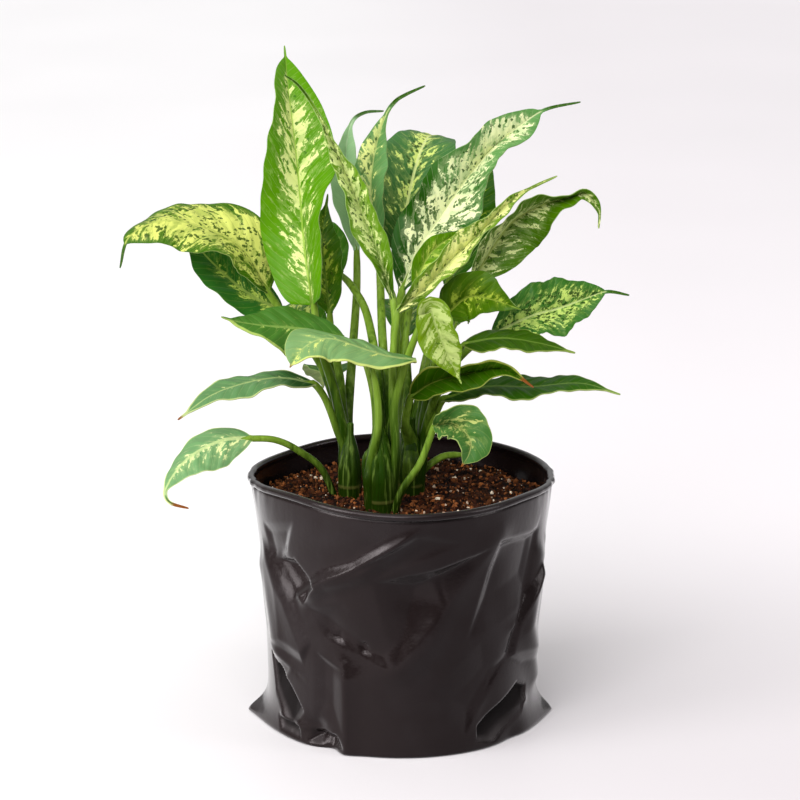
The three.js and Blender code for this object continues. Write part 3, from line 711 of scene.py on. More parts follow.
LOOKS: dict[str, LeafLook] = {
    "leaf_01": LeafLook("#5f9a0c", "#3f7404", "#ecf2a2", "#a4c84e", ((0, 0.34, 0.4),
        (0.12, 0.42, 0.45), (0.3, 0.5, 0.46), (0.5, 0.64, 0.54), (0.7, 0.66, 0.72),
        (0.82, 0.5, 0.4), (0.9, 0.15, 0.05), (1, 0, 0)), grain=1.9, streak=2.0, edge=1.3,
        specks=0.04),
    "leaf_02": LeafLook("#43720d", "#1f3f05", "#b3c647", "#6f9030", ((0, 0.4, 0.4), (0.5, 0.5, 0.5),
        (1, 0.1, 0.1)), specks=0.2),
    "leaf_03": LeafLook("#6f9638", "#2f560c", "#e0eb9c", "#b4c878", ((0, 0.5, 0.3),
        (0.3, 0.6, 0.45), (0.45, 0.85, 0.7), (0.78, 0.85, 0.65), (0.86, 0.2, 0.1), (1, 0, 0)),
        edge=3.5, grain=1.9, fade=0.3, specks=0.12),
    "leaf_04": LeafLook("#41700c", "#284c04", "#d5dc70", "#bcc760", ((0, 0.5, 0.5),
        (0.25, 0.72, 0.8), (0.6, 0.74, 0.72), (0.8, 0.5, 0.4), (0.9, 0.05, 0.05), (1, 0, 0)),
        edge=3.0, streak=2, grain=2.1, specks=0.16, under="#9db56a"),
    "leaf_05": LeafLook("#3f7434", "#234f20", "#c4d862", "#9cb558", ((0, 0.45, 0.5),
        (0.5, 0.42, 0.4), (1, 0, 0)), edge=1.0, grain=1.5),
    "leaf_06": LeafLook("#4f7a38", "#2a5218", "#b3c866", "#82a24c", ((0, 0.12, 0.1),
        (0.5, 0.1, 0.06), (1, 0, 0)), margin=(1.6, 0.0)),
    "leaf_07": LeafLook("#86a972", "#4b7c40", "#d3de7c", "#aac074", ((0, 0.2, 0.2),
        (0.5, 0.22, 0.16), (0.9, 0.3, 0.25), (1, 0.6, 0.6)), margin=(1.5, 0.2), streak=4, fade=0.3,
        dry=0.03, under="#7c7c2c"),
    "leaf_08": LeafLook("#6d9464", "#2f5a28", "#c9d490", "#a9c07c", ((0, 0.2, 0.12), (1, 0.1, 0.1)),
        fade=0.4, dry=0.05, margin=(0.7, 0.9)),
    "leaf_09": LeafLook("#7fa674", "#548a58", "#e2eaa6", "#c4d692", ((0, 0.5, 0.45),
        (0.6, 0.52, 0.4), (0.8, 0, 0), (1, 0, 0)), edge=0.9, grain=1.5, dry=0.13,
        margin=(0.3, 0.7)),
    # leaf_10's pale bluish greens hold a painted highlight: its sheen is painted into its colours
    # over its own green.
    "leaf_10": LeafLook("#a3c698", "#6f9c70", "#d4e6bc", "#c4dcb4", PLAIN),
    "leaf_11": LeafLook("#6f9a62", "#3f6a30", "#ecf29a", "#d4e096", ((0, 0.2, 0.15),
        (0.25, 0.6, 0.25), (0.6, 0.85, 0.25), (0.74, 0.5, 0), (0.8, 0, 0), (1, 0, 0)), streak=2.4),
    "leaf_12": LeafLook("#4d7846", "#27490f", "#d3e27c", "#dde69a", ((0, 0.3, 0.3), (0.3, 0.5, 0.4),
        (0.6, 0.62, 0.55), (0.8, 0.55, 0.4), (0.9, 0.1, 0.1), (1, 0, 0)), edge=0.9, grain=2.0,
        patch=8, fade=0.35, specks=0.14),
    "leaf_13": LeafLook("#6f9e60", "#24540a", "#f4f8c2", "#eef3bc", ((0, 0.5, 0.5),
        (0.25, 0.55, 0.62), (0.45, 0.7, 0.7), (0.6, 0.8, 0.68), (0.76, 0.78, 0.66),
        (0.83, 0.3, 0.15), (0.86, 0, 0), (1, 0, 0)), edge=2.0, grain=2.4, patch=7, fade=0.6,
        specks=0.1),
    "leaf_14": LeafLook("#3c6c1c", "#234a0a", "#cbe04a", "#7c9c44", ((0, 0.1, 0.1),
        (0.55, 0.55, 0.3), (0.7, 0.4, 0.1), (1, 0, 0))),
    "leaf_15": LeafLook("#789a40", "#2f5208", "#eef09c", "#dfe69c", ((0, 0.55, 0.5),
        (0.4, 0.7, 0.74), (0.8, 0.75, 0.66), (0.92, 0.5, 0.3), (1, 0, 0)), streak=2.4, grain=2.2,
        edge=3.5, fade=0.3, specks=0.08),
    "leaf_16": LeafLook("#4d780c", "#305204", "#d9e29c", "#c3d07c", ((0, 0.85, 0.7),
        (0.35, 0.9, 0.62), (0.55, 0.7, 0.5), (0.72, 0.3, 0.3), (0.8, 0.7, 0.7), (1, 0.6, 0.6)),
        streak=2.6, edge=1.1, specks=0.05, under="#a5bb7c"),
    "leaf_17": LeafLook("#5f9010", "#3c6806", "#c4d45c", "#a8c050", ((0, 0.4, 0.4),
        (0.5, 0.55, 0.5), (1, 0, 0)), streak=2),
    "leaf_18": LeafLook("#456a0c", "#224004", "#a9bd40", "#90a43c", ((0, 0.35, 0.4),
        (0.5, 0.5, 0.6), (1, 0.2, 0.2)), streak=3.0, edge=1.4),
    "leaf_19": LeafLook("#467437", "#173f08", "#c3da70", "#d3e09a", ((0, 0.5, 0.75),
        (0.2, 0.55, 0.7), (0.6, 0.56, 0.6), (0.8, 0.4, 0.35), (0.84, 0, 0), (1, 0, 0)), edge=2,
        grain=1.6, patch=4, streak=1.2, specks=0.2),
    "leaf_20": LeafLook("#395c10", "#1d3a06", "#8fa048", "#6c8a34", PLAIN, margin=(0.6, 0.6)),
    "leaf_21": LeafLook("#385e14", "#1d3c06", "#a9b14c", "#8fa040", PLAIN, dry=0.12,
        margin=(0.9, 0.4)),
    "leaf_22": LeafLook("#355e18", "#1a3d08", "#a3b464", "#6c8c3c", PLAIN, margin=(0.4, 0.6)),
    "leaf_23": LeafLook("#6f8c30", "#3f6212", "#b4c474", "#aabb70", ((0, 0.6, 0.4),
        (0.6, 0.7, 0.45), (1, 0.5, 0.3)), streak=6, edge=5, grain=1.6, patch=5, specks=0.03),
    "leaf_24": LeafLook("#4f7840", "#325a24", "#b6c06c", "#a4b266", ((0, 0.55, 0.55),
        (0.3, 0.62, 0.6), (0.7, 0.5, 0.5), (0.9, 0, 0), (1, 0, 0)), edge=1.0, grain=1.5, dry=0.06,
        margin=(0.2, 0.2)),
}
BACK_LOOK = LeafLook("#477c22", "#28560e", "#cbd870", "#a9c460", ((0, 0.4, 0.4), (0.5, 0.6, 0.6),
    (0.8, 0.35, 0.35), (1, 0, 0)), edge=1.4)


# ---------------------------------------- leaf blades

PLANT_IOR = 1.45
VEIN_GAP = 5.2  # millimetres between the side veins of a blade
TAIL_MARKED = 0.1  # a longer tail than this loses its pattern


@dataclass(frozen=True)
class BladeSkin:
    """The finish of one blade: its greens, its pale patches and its veins.

    The side veins leave the midrib at a `slant` and `bend` towards the tip, and stand `depth`
    millimetres out. `glow` is the share of the light that shines through the blade.
    """

    name: str
    look: LeafLook
    seed: float
    tail: str = "#33560f"
    dry: str = "#8a4f1c"
    back_vein: str = "#c6d8a4"
    saturation: float = 1.12
    brightness: float = 0.95
    slant: float = 0.8
    bend: float = 0.008
    depth: float = 0.28
    shine: float = 0.16
    glow: float = 0.26

    def material(self) -> Material:
        """Makes the material, which reads the marks that Blade keeps on its mesh."""
        paint, look = Paint(bpy.data.materials.new(self.name)), self.look
        across, along, under = paint.marks("blade")
        pale, dry, rib_half = paint.marks("pattern")
        to_edge, share, tail = paint.marks("rim")
        away = abs(across)
        vein = along - away * self.slant - away * away * self.bend
        half = across.step(-0.2, 0.2) * 37.0 + self.seed
        drift = paint.cloud(paint.at(along / 6.0, across / 6.0, half))
        jag = paint.cloud(paint.at(along / 1.1, across / 1.1, half), rough=0.6)
        patch_at = paint.at(
            vein / look.patch + drift, away / (look.patch * look.streak) - drift, half
        )
        cell_at = paint.at(
            vein / look.grain + jag * 0.8 + drift,
            away / (look.grain * look.streak) + jag * 0.6,
            half + 5.0,
        )
        fleck_at = paint.at(along / 1.5 + jag * 0.9, across / 1.3 - jag * 0.8, half + 9.0)
        patch = paint.cloud(patch_at, detail=3, rough=0.55)
        cell = paint.cells(cell_at)
        fleck = paint.cells(fleck_at)
        grain = paint.cloud(cell_at)
        shade = paint.cloud(paint.at(along / 30.0, across / 14.0, half))
        chance = pale + (patch - 0.5) * 0.8 + (cell - 0.5) * 0.62 + (fleck - 0.5) * 0.12 - 0.5
        sunny = chance.step(-0.02, 0.02)
        soft = chance.step(-0.45, 0.1)
        speck = fleck.step(0.985 - look.specks, 0.995 - look.specks)
        line = vein.wave(VEIN_GAP).step(0.92, 1.0)
        rib = (away - rib_half).step(0.35, -0.25)

        dark = (shade - 0.1) * 0.45 + share.step(look.fade, look.fade - 0.35) * 0.75
        green = paint.layers(look.green, (dark.step(0.0, 1.0), look.deep), (tail * 0.9, self.tail))
        top = paint.layers(
            paint.richer(green, self.saturation, self.brightness),
            (soft * 0.22, look.cream),
            (sunny, look.cream),
            (patch.step(0.7, 0.3) * sunny * 0.4, look.green),
            (speck * pale.step(0.2, 0.45) * 0.9, look.deep),
            (to_edge.step(0.35, -0.35) * 0.85, look.cream),
            (line * 0.1, look.cream),
            (rib * 0.8, look.rib),
        )
        back = paint.layers(
            look.under, (soft * 0.4 + 0.15, look.cream), (line * 0.2, self.back_vein)
        )
        height = line * -0.3 + vein.wave(VEIN_GAP) * -0.2 + grain * 0.06 + rib * 0.3
        sockets = {
            "Base Color": paint.layers(top, (under, back), (dry, self.dry)),
            "Roughness": shade * 0.14 + look.gloss + under * 0.12 - 0.05,
            "Normal": paint.relief(height, self.depth),
            "IOR": PLANT_IOR,
            "Specular IOR Level": self.shine,
        }
        return paint.done(sockets, self.glow)


@dataclass
class Blade:
    """A leaf's blade: a thin waved sheet with a keel under its midrib."""

    name: str
    shape: LeafShape
    look: LeafLook
    rows: int = 84
    columns: int = 28
    thickness: float = 0.55
    keel: float = 1.5
    keel_half: float = 1.5
    cup: float = math.radians(-24)
    base: float = 2.2
    tip: float = 0.3
    ripple: float = 0.5
    rib: Spline = field(init=False)
    turns: Spline = field(init=False)

    def __post_init__(self) -> None:
        """Draws the curves that the blade follows."""
        self.rib = Spline(self.shape.rib)
        pairs = zip(self.shape.left, self.shape.right, strict=True)
        self.turns = Spline([(left, right, 0) for left, right in pairs])

    def half_width(self, share: Array) -> Array:
        """The half blade's width at shares of the rib's length."""
        shape = self.shape
        place = clipped(share / (1 - shape.tail))
        low = np.sin(np.pi / 2 * clipped(place / shape.widest)) ** shape.shoulder
        high = clipped((place - shape.widest) / (1 - shape.widest))
        outline = np.where(place < shape.widest, low, np.cos(np.pi / 2 * high) ** shape.taper)
        floor = self.tip + (self.base - self.tip) * np.sqrt(1 - share)
        return np.maximum(shape.half * outline, floor)

    def middle_surface(self, across: Array, along: Array) -> Array:
        """Gives each point of the flat grid its place on the blade.

        Args:
            across: shares from the left edge to the right one.
            along: shares from the base to the tip.

        Returns:
            Places in millimetres.
        """
        shape = self.shape
        middle, side, normal = shape.frames(along)
        turn = np.radians(self.turns.at(self.rib.even(along)))
        out, sign = np.abs(2 * across - 1), np.sign(np.round(2 * across - 1, 6))
        width = self.half_width(along)
        calm = np.sin(np.pi * np.minimum(1, along / (1 - shape.tail)))
        lift = np.where(sign < 0, turn[:, 0], turn[:, 1]) - self.cup / 2
        reach = width / self.cup * (np.sin(lift + self.cup * out) - np.sin(lift))
        rise = -width / self.cup * (np.cos(lift + self.cup * out) - np.cos(lift))
        count, height, start = shape.waves
        wave = height * calm * out**2 * np.sin(2 * np.pi * (count * along + start) + sign)
        vein = along * self.rib.length - out * width * 0.75
        pucker = np.sin(2 * np.pi * vein / (2 * VEIN_GAP)) * np.sin(np.pi * out) ** 1.5
        frill = np.sin(2 * np.pi * (count * 3.3 * along + start) + 2 * sign) * out**4
        wave = wave + self.ripple * calm * (pucker + frill)
        return EYE.place(
            middle
            + side * (sign * (reach - wave * np.sin(lift)))[:, None]
            + normal * (rise + wave * np.cos(lift))[:, None]
        )

    def pattern(self, across: Array, along: Array) -> tuple[Array, Array, Array]:
        """The marks that the blade's finish reads at each point.

        Args:
            across: shares from the left edge to the right one.
            along: shares from the base to the tip.

        Returns:
            Millimetres across, along and 0; paleness, dryness and the rib's half width; and
            millimetres from the yellow margin, the share of the length, and 1 on a drawn-out tail.
        """
        look, shape = self.look, self.shape
        out, sign = np.abs(2 * across - 1), np.sign(2 * across - 1)
        where, *covers = np.array(look.pale, float).T
        left, right = (np.interp(along, where, cover) for cover in covers)
        pale = np.where(sign < 0, left, right) * 1.25 - 0.1 - out**look.edge * 0.75
        dry = clipped((along - 1 + look.dry) / 0.03) if look.dry else 0 * along
        tail = 0 * along
        if shape.tail > TAIL_MARKED:
            tail = clipped((along + shape.tail - 1) / 0.04)
        rib_half = 1.1 * (1 - along) ** 0.8 + 0.12
        width = self.half_width(along)
        margin = np.where(sign < 0, *look.margin)
        to_edge = np.where(margin > 0, (1 - out) * width - margin, 9.0)
        blade = np.stack([sign * out * width, along * self.rib.length, 0 * along], 1)
        pattern = np.stack([pale - tail, dry, rib_half - 2 * tail], 1)
        return blade, pattern, np.stack([to_edge, along, tail], 1)

    def build(self) -> None:
        """Makes the blade and gives it its thickness and its keel."""
        piece, across, along = shaped_sheet(
            f"{self.name}_blade", self.columns, self.rows, self.middle_surface
        )
        normals = np.empty(len(across) * 3, np.float32)
        piece.data.vertex_normals.foreach_get("vector", normals)
        normals = normals.reshape(-1, 3).astype(float)
        middle = points_of(piece)
        thicken(piece, self.thickness)
        out = np.abs(2 * across - 1) * self.half_width(along)
        ridge = self.keel * (1 - along) ** 0.8 * np.exp(-((out / self.keel_half) ** 2))
        upper = middle + normals * (self.thickness / 2)
        lower = middle - normals * (self.thickness / 2 + ridge)[:, None]
        put_points(piece, np.concatenate([upper, lower]))
        blade, pattern, rim = self.pattern(across, along)
        put_marks(piece, "blade", np.concatenate([blade, blade + (0, 0, 1)]))
        put_marks(piece, "pattern", np.concatenate([pattern, pattern]))
        put_marks(piece, "rim", np.concatenate([rim, rim]))
        smooth(piece, 50)
        seed = float(int(self.name[-2:]) * 3.7)
        skin = BladeSkin(f"{self.name}_skin", self.look, seed)
        settle(piece, self.name, skin.material())


# ---------------------------------------- stalks and leaf stems

SCAR = 6.0  # how high over the soil a cane has its ring scar, in millimetres
SCAR_OUT = 0.3  # how far the scar stands out
SCAR_WIDTH = 0.8


@dataclass(frozen=True)
class StemSkin:
    """The finish of canes and leaf stems: green, darker at the foot, streaked along."""

    foot: str = "#172801"
    middle: str = "#2f5006"
    head: str = "#71902c"
    light_streak: str = "#a2c256"
    dark_streak: str = "#193803"
    bloom: str = "#b8cc78"
    scar: str = "#9c9050"
    rough: float = 0.3
    depth: float = 0.3
    shine: float = 0.09
    glow: float = 0.12

    def material(self) -> Material:
        """Makes the material, which reads the marks that Stalk keeps on its meshes."""
        paint = Paint(bpy.data.materials.new("stem_skin"))
        share, height, cane = paint.marks("stem")
        place = paint.places()
        streaks = paint.cloud(paint.stretched(place, (1.0, 1.0, 0.06)), 520, 3, 0.55)
        broad = paint.cloud(paint.stretched(place, (1.0, 1.0, 0.16)), 150)
        skin = paint.layers(
            self.foot,
            (height.step(4, 62), self.middle),
            ((share + (broad - 0.5) * 0.4).step(0.25, 0.85), self.head),
            (streaks.step(0.55, 0.95) * 0.24, self.light_streak),
            (streaks.step(0.45, 0.05) * 0.6, self.dark_streak),
            (broad.step(0.6, 1.0) * height.step(10, 60) * 0.2, self.bloom),
            (abs(height - SCAR).step(1.4, 0.3) * cane * 0.14, self.scar),
        )
        sockets = {
            "Base Color": skin,
            "Roughness": broad * 0.12 + self.rough,
            "Normal": paint.relief(streaks * 0.5 + broad * 0.4, self.depth),
            "IOR": PLANT_IOR,
            "Specular IOR Level": self.shine,
        }
        return paint.done(sockets, self.glow)


@dataclass(frozen=True)
class Cane:
    """A stalk's cane in its sheaths: where it stands, and how thick and tall it is."""

    x: float
    y: float
    radius: float
    top_radius: float
    top: float
    lobes: int


CANES = {
    LEFT: Cane(-29, 1, 6.5, 8, 162, 5),
    CENTRE: Cane(-12, -27, 9, 11, 174, 7),
    RIGHT: Cane(5, 4, 7.5, 9, 164, 6),
}
SHOOT: Points = ((10, -44, -22), (22, -32, -24), (36, -30, -26))


@dataclass
class Stalk:
    """One stalk: its cane, and the leaf stems whose sheaths wrap it.

    In millimetres, `soil` is the height of the soil and `foot` that of the cane's foot in it,
    `crown` is how far the sheaths' lobes rise over the cane,
    `inset` how deep a stem's foot sits in the cane, `low` and `below` how far over the soil and
    under the cane's top a stem leaves it, `under_blade` how far the stem's last points lie under
    the blade, and `sheath` and `sheath_depth` how long and how thick a sheath is.
    """

    stand: Stand
    skin: Material
    soil: float = 127
    foot: float = 112
    crown: float = 6
    inset: float = 2.2
    low: float = 26
    below: float = 14
    under_blade: tuple[float, ...] = (0.4, 1.0, 0.9)
    sheath: float = 62
    sheath_depth: float = 2.6
    tip: float = 1.9
    shoot: float = 2.2
    rings: int = 70
    cane_sides: int = 56
    steps: int = 60
    sides: int = 20

    @property
    def cane(self) -> Cane:
        """The cane's sizes."""
        return CANES[self.stand]

    def build_cane(self) -> None:
        """Makes the cane: its wrapping sheaths part into lobes towards the top."""
        cane = self.cane
        head = cane.top + self.crown
        heights = np.linspace(self.foot, head, self.rings)
        sway = np.sin((heights - self.foot) / 21 + cane.lobes)
        centres = np.stack([sway * 0.5 + cane.x, 0 * heights + cane.y, heights], 1)

        def radii(turn: Array, share: Array) -> tuple[Array, Array, Array]:
            """The cane's half widths, with the sheaths' lobes and one ring scar."""
            height = self.foot + share * (head - self.foot)
            rise = clipped((height - self.soil) / (cane.top - self.soil))
            ring = SCAR_OUT * np.exp(-(((height - self.soil - SCAR) / SCAR_WIDTH) ** 2))
            twist = turn + rise * 0.5 + cane.lobes
            uneven = twist + 0.35 * np.sin(twist * 2 + cane.lobes)
            lobe = 1 - (0.04 + 0.2 * rise) * (1 - np.abs(np.sin(cane.lobes * uneven / 2))) ** 2
            ruffle = 1 + 0.012 * np.cos(13 * turn + 5 * rise)
            radius = cane.radius + (cane.top_radius - cane.radius) * rise
            fade = clipped((rise - 0.35) / 0.65)
            radius = radius * lobe * ruffle * (1 - 0.75 * fade**1.5) + ring
            return radius, radius * 0.94, 0 * radius

        name = f"{self.stand.value}_cane"
        piece, share = tube(name, centres, radii, np.array([1.0, 0, 0]), self.cane_sides)
        self.finish(piece, share * 0.3, 1.0)

    def finish(self, piece: Piece, share: Array, cane: float) -> None:
        """Smooths a piece of the stalk, marks it and settles it.

        Args:
            piece: the cane or a leaf stem.
            share: how far along its stem each point lies.
            cane: 1 for the cane, 0 for a leaf stem.
        """
        height = points_of(piece)[:, 2] - self.soil
        put_marks(piece, "stem", np.stack([share, height, 0 * height + cane], 1))
        smooth(piece, 60)
        settle(piece, self.stand.value, self.skin)

    def stem_route(self, leaf: LeafShape | None, stem: Points) -> tuple[Array, Array]:
        """The route of a leaf stem from the soil to its blade.

        Args:
            leaf: the leaf that it carries, or None for the young shoot.
            stem: its points above the cane.

        Returns:
            The route's points, and the direction from the cane's axis to its foot.
        """
        cane = self.cane
        axis = np.array([cane.x, cane.y, 0.0])
        above = EYE.place(stem)
        out = unit((above[0] - axis) * (1, 1, 0))
        hold = out * (cane.radius - self.inset)
        points = [axis + hold + (0, 0, self.foot)]
        if above[0][2] > self.soil + self.low:
            lean = out * (cane.top_radius - self.inset)
            points += [axis + hold + (0, 0, self.soil + self.crown)]
            points += [axis + lean + (0, 0, min(cane.top - self.below, above[0][2] - 10))]
        points += list(above)
        if leaf and leaf.seat:
            points.append(EYE.place(leaf.seat))
        elif leaf:
            middle, side, normal = leaf.frames(np.array([0.0, 0.05, 0.14]))
            left, right = np.radians(np.array([leaf.left[0], leaf.right[0]]))
            up = side * (np.sin(left) - np.sin(right)) + normal * (np.cos(left) + np.cos(right))
            points.extend(EYE.place(middle - unit(up) * np.array(self.under_blade)[:, None]))
        return np.array(points), out

    def build_stem(self, name: str, leaf: LeafShape | None, stem: Points) -> None:
        """Makes one leaf stem: a channelled tube that widens into a sheath at its foot.

        Args:
            name: the piece's name.
            leaf: the leaf that it carries, or None for the young shoot.
            stem: its points above the cane.
        """
        route, out = self.stem_route(leaf, stem)
        wraps = float(len(route) > len(stem) + 4)
        girth = leaf.girth if leaf else self.shoot
        thick = self.cane.radius
        spline = Spline(route)
        centres = spline.at(spline.even(np.linspace(0, 1, self.steps + 1)))

        def radii(turn: Array, share: Array) -> tuple[Array, Array, Array]:
            """The half widths: a sheath below, a channelled stem above, fine at the blade."""
            radius = girth + (self.tip - girth) * share**0.55
            radius = radius * (1 - 0.45 * clipped((share - 0.88) / 0.12))
            sheath = wraps * clipped(1 - share * spline.length / self.sheath) ** 0.7
            channel = 1 - 0.14 * (1 - sheath) * np.exp(-((np.cos(turn) + 1) / 0.35) ** 2)
            ribs = 1 + 0.018 * np.cos(7 * turn)
            wide = (radius + (thick * 0.78 - radius) * sheath) * channel * ribs
            deep = (radius + (self.sheath_depth - radius) * sheath) * channel * ribs
            return wide, deep, (wide * np.sin(turn)) ** 2 / (2.2 * thick) * sheath

        piece, share = tube(name, centres, radii, out, self.sides)
        self.finish(piece, share, 0.0)

    def build(self) -> None:
        """Makes the cane and all the stems of this stalk."""
        self.build_cane()
        for name, leaf in LEAVES.items():
            if leaf.stalk is self.stand:
                self.build_stem(f"{name}_stem", leaf, leaf.stem)
        if self.stand is RIGHT:
            self.build_stem("young_shoot", None, SHOOT)


# ---------------------------------------- the bag


@dataclass(frozen=True)
class Ear:
    """A corner of the flat bag that sticks out at the base."""

    direction: float
    reach: float
    spread: float
    rise: float


@dataclass(frozen=True)
class Fold:
    """A broad fold of the film: its route over the unrolled wall and how far it stands out."""

    route: Route
    out: float
    width: float

    def rise(self, away: Array) -> Array:
        """How far the wall moves at distances from the route, in millimetres."""
        return self.out * np.exp(-((away / self.width) ** 2))


@dataclass(frozen=True)
class Crease:
    """A sharp crease: like a fold, but with a crest and its own width on each side.

    `right` is the width to the right of the route's direction, and `left` to its left.
    """

    route: Route
    out: float
    left: float
    right: float
    crest: float = 0.6

    def rise(self, away: Array) -> Array:
        """How far the wall moves at distances from the route, in millimetres."""
        soft = np.sqrt(away * away + self.crest**2) - self.crest
        return self.out * np.exp(-soft / np.where(away > 0, self.left, self.right))


@dataclass(frozen=True)
class Facet:
    """A flat-sided dent or bulge of the film between sharp creases.

    `corners` run clockwise round it over the unrolled wall, `slopes` holds how steeply the film
    leaves the wall at each side, and `depth` is the most that it goes in (-) or out (+). A slit
    is a deep dent between two layers of film whose inside is painted shade: black, rough and
    without coat.
    """

    corners: Route
    slopes: tuple[float, ...]
    depth: float
    shaded_slit: bool = False


@dataclass(frozen=True)
class Slump:
    """A place where the rim is drawn in and lifted, so that it isn't round.

    `turn` is its direction in degrees from the front and `wide` how far it spreads to each side;
    `inward` and `lift` are millimetres at the rim.
    """

    turn: float
    wide: float
    inward: float
    lift: float


FOLDS = (
    Fold(((-44, 84), (-33, 96), (-16, 106), (-4, 120), (7, 133)), 3.2, 5),
    Fold(((-58, 101), (-44, 84)), -2.2, 6),
    Fold(((2, 96), (20, 83), (30, 105)), -2.6, 13),
    Fold(((39, 124), (22, 91), (11, 66), (-2, 52)), 2.2, 9),
    Fold(((-30, 69), (-17, 57)), -1.6, 9),
    Fold(((-24, 42), (-23, 2)), 2.0, 7),
    Fold(((-38, 10), (-32, 2)), -4.5, 7),
    Fold(((38, 20), (52, 4)), -2.0, 9),
    Fold(((70, 100), (62, 62), (75, 30)), 3.0, 8),
    Fold(((-75, 92), (-62, 50)), 3.0, 9),
    Fold(((120, 120), (105, 70), (128, 24)), -3.5, 10),
    Fold(((-125, 112), (-108, 66), (-140, 34)), 3.0, 8),
    Fold(((165, 96), (180, 60), (160, 22)), 3.5, 9),
    Fold(((-160, 118), (-172, 84)), -3.0, 10),
)
CREASES = (
    Crease(((-47, 84), (-41, 91), (-30, 100), (-19, 107), (-5, 121), (6, 132)), 1.3, 2.6, 1.4),
    Crease(((-68, 106), (-58, 97), (-47, 82)), -1.0, 4, 3),
    Crease(((-24, 52), (-23, 4)), 0.9, 1.5, 4),
    Crease(((78, 108), (66, 84), (52, 66)), 1.2, 3, 4),
    Crease(((66, 116), (60, 88), (50, 53), (40, 39)), -0.8, 5, 2),
    Crease(((-86, 82), (-74, 56), (-52, 42), (-60, 28)), 1.0, 4, 2),
    Crease(((-60, 12), (-46, 10), (-30, 11)), 1.0, 2, 2),
    Crease(((34, 7), (46, 16), (64, 19)), 1.2, 2, 2),
    Crease(((110, 126), (124, 92), (112, 58), (136, 30)), 1.4, 4, 2),
    Crease(((150, 128), (162, 96), (148, 64), (170, 20)), -1.2, 3, 5),
    Crease(((-110, 124), (-122, 96), (-104, 60), (-118, 22)), 1.4, 2, 5),
    Crease(((-150, 110), (-166, 74), (-150, 44), (-158, 12)), 1.2, 4, 2),
    Crease(((-176, 122), (-168, 100), (-182, 70)), 1.0, 4, 2),
)
FACETS = (
    Facet(((-12, 101), (37, 117), (-3, 50)), (0.5, 0.21, 0.2), -4.6),
    Facet(((10, 106), (36, 117), (18, 84)), (0.4, 0.16, 0.4), -2.2),
    Facet(((-44, 84), (7, 132), (33, 116), (-12, 102)), (0.9, 0.5, 0.14, 0.3), -2.6),
    Facet(((-61, 101), (-49, 105), (-36, 93), (-44, 81)), (1.8, 2.0, 1.6, 0.62), -6.4),
    Facet(((-42, 80), (-24, 87), (-2, 66), (-4, 50), (-21, 59), (-34, 66)),
        (0.3, 0.14, 0.22, 0.26, 0.25, 0.3), -3.4),
    Facet(((-30, 68), (-26, 70), (-24, 63), (-28, 64)), (0.7, 0.7, 0.9, 0.7), -1.1),
    Facet(((-19, 65), (-15, 66), (-12, 58), (-17, 59)), (0.7, 0.7, 0.9, 0.7), -1.1),
    Facet(((-76, 111), (-53, 87), (-40, 61), (-45, 47), (-67, 54)), (0.3, 0.35, 1.0, 0.4, 0.2),
        2.6),
    Facet(((70, 98), (90, 75), (76, 40), (60, 42), (50, 49), (54, 70)),
        (0.4, 0.2, 0.3, 1.0, 1.2, 0.6), 2.4),
    Facet(((-72, 46), (-60, 41), (-45, 18), (-52, 4), (-67, 20)), (1.2, 1.5, 0.4, 0.4, 1.2), -6.0,
        shaded_slit=True),
    Facet(((-64, 11), (-48, 10), (-46, 2), (-60, 2)), (1.4, 1.2, 0.4, 0.5), -4.0, shaded_slit=True),
    Facet(((-38, 7), (-33, 9), (-31, 2), (-36, 2)), (0.9, 0.9, 0.9, 0.9), 1.4),
    Facet(((-41, 10), (-28, 11), (-23, 2), (-43, 2)), (1.2, 1.0, 0.8, 1.0), -4.2),
    Facet(((33, 14), (57, 32), (65, 27), (61, 12), (42, 2), (32, 4)),
        (1.9, 1.6, 1.6, 0.26, 0.4, 1.6), -7.0, shaded_slit=True),
    Facet(((40, 120), (69, 117), (61, 79), (27, 64)), (0.5, 0.25, 0.14, 0.5), -2.4),
    Facet(((11, 38), (34, 63), (48, 48), (27, 10)), (0.14, 0.2, 0.3, 0.2), -2.0),
    Facet(((-71, 119), (-48, 126), (-53, 107), (-67, 100)), (0.3, 0.4, 0.6, 0.4), -1.8),
    Facet(((-39, 57), (-23, 48), (-24, 10), (-40, 13)), (0.5, 0.2, 0.12, 0.25), -1.8),
    Facet(((94, 118), (118, 124), (128, 80), (104, 66)), (0.5, 0.3, 0.15, 0.4), -2.8),
    Facet(((126, 60), (150, 84), (158, 40), (140, 22)), (0.3, 0.6, 0.4, 0.15), 2.4),
    Facet(((150, 122), (176, 126), (190, 92), (164, 78)), (0.6, 0.4, 0.14, 0.3), -2.8),
    Facet(((184, 70), (206, 88), (214, 44), (192, 28)), (0.3, 0.6, 0.5, 0.16), 2.2),
    Facet(((214, 124), (240, 118), (252, 86), (226, 70)), (0.5, 0.3, 0.15, 0.4), -2.8),
    Facet(((236, 60), (262, 66), (258, 30), (240, 18)), (0.4, 0.5, 0.3, 0.15), -2.4),
)
SLUMPS = (
    Slump(-48, 24, 5.0, 2.2),
    Slump(54, 16, 2.2, 0.8),
    Slump(4, 22, -1.2, -0.6),
    Slump(128, 24, 3.0, 1.0),
    Slump(-128, 22, 2.6, -0.8),
)


def spin_from_front(direction: Array | float) -> Array | float:
    """Degrees from the bag's front, + to the right, in -180 to 180."""
    return np.mod(direction + 90 + 180, 360) - 180


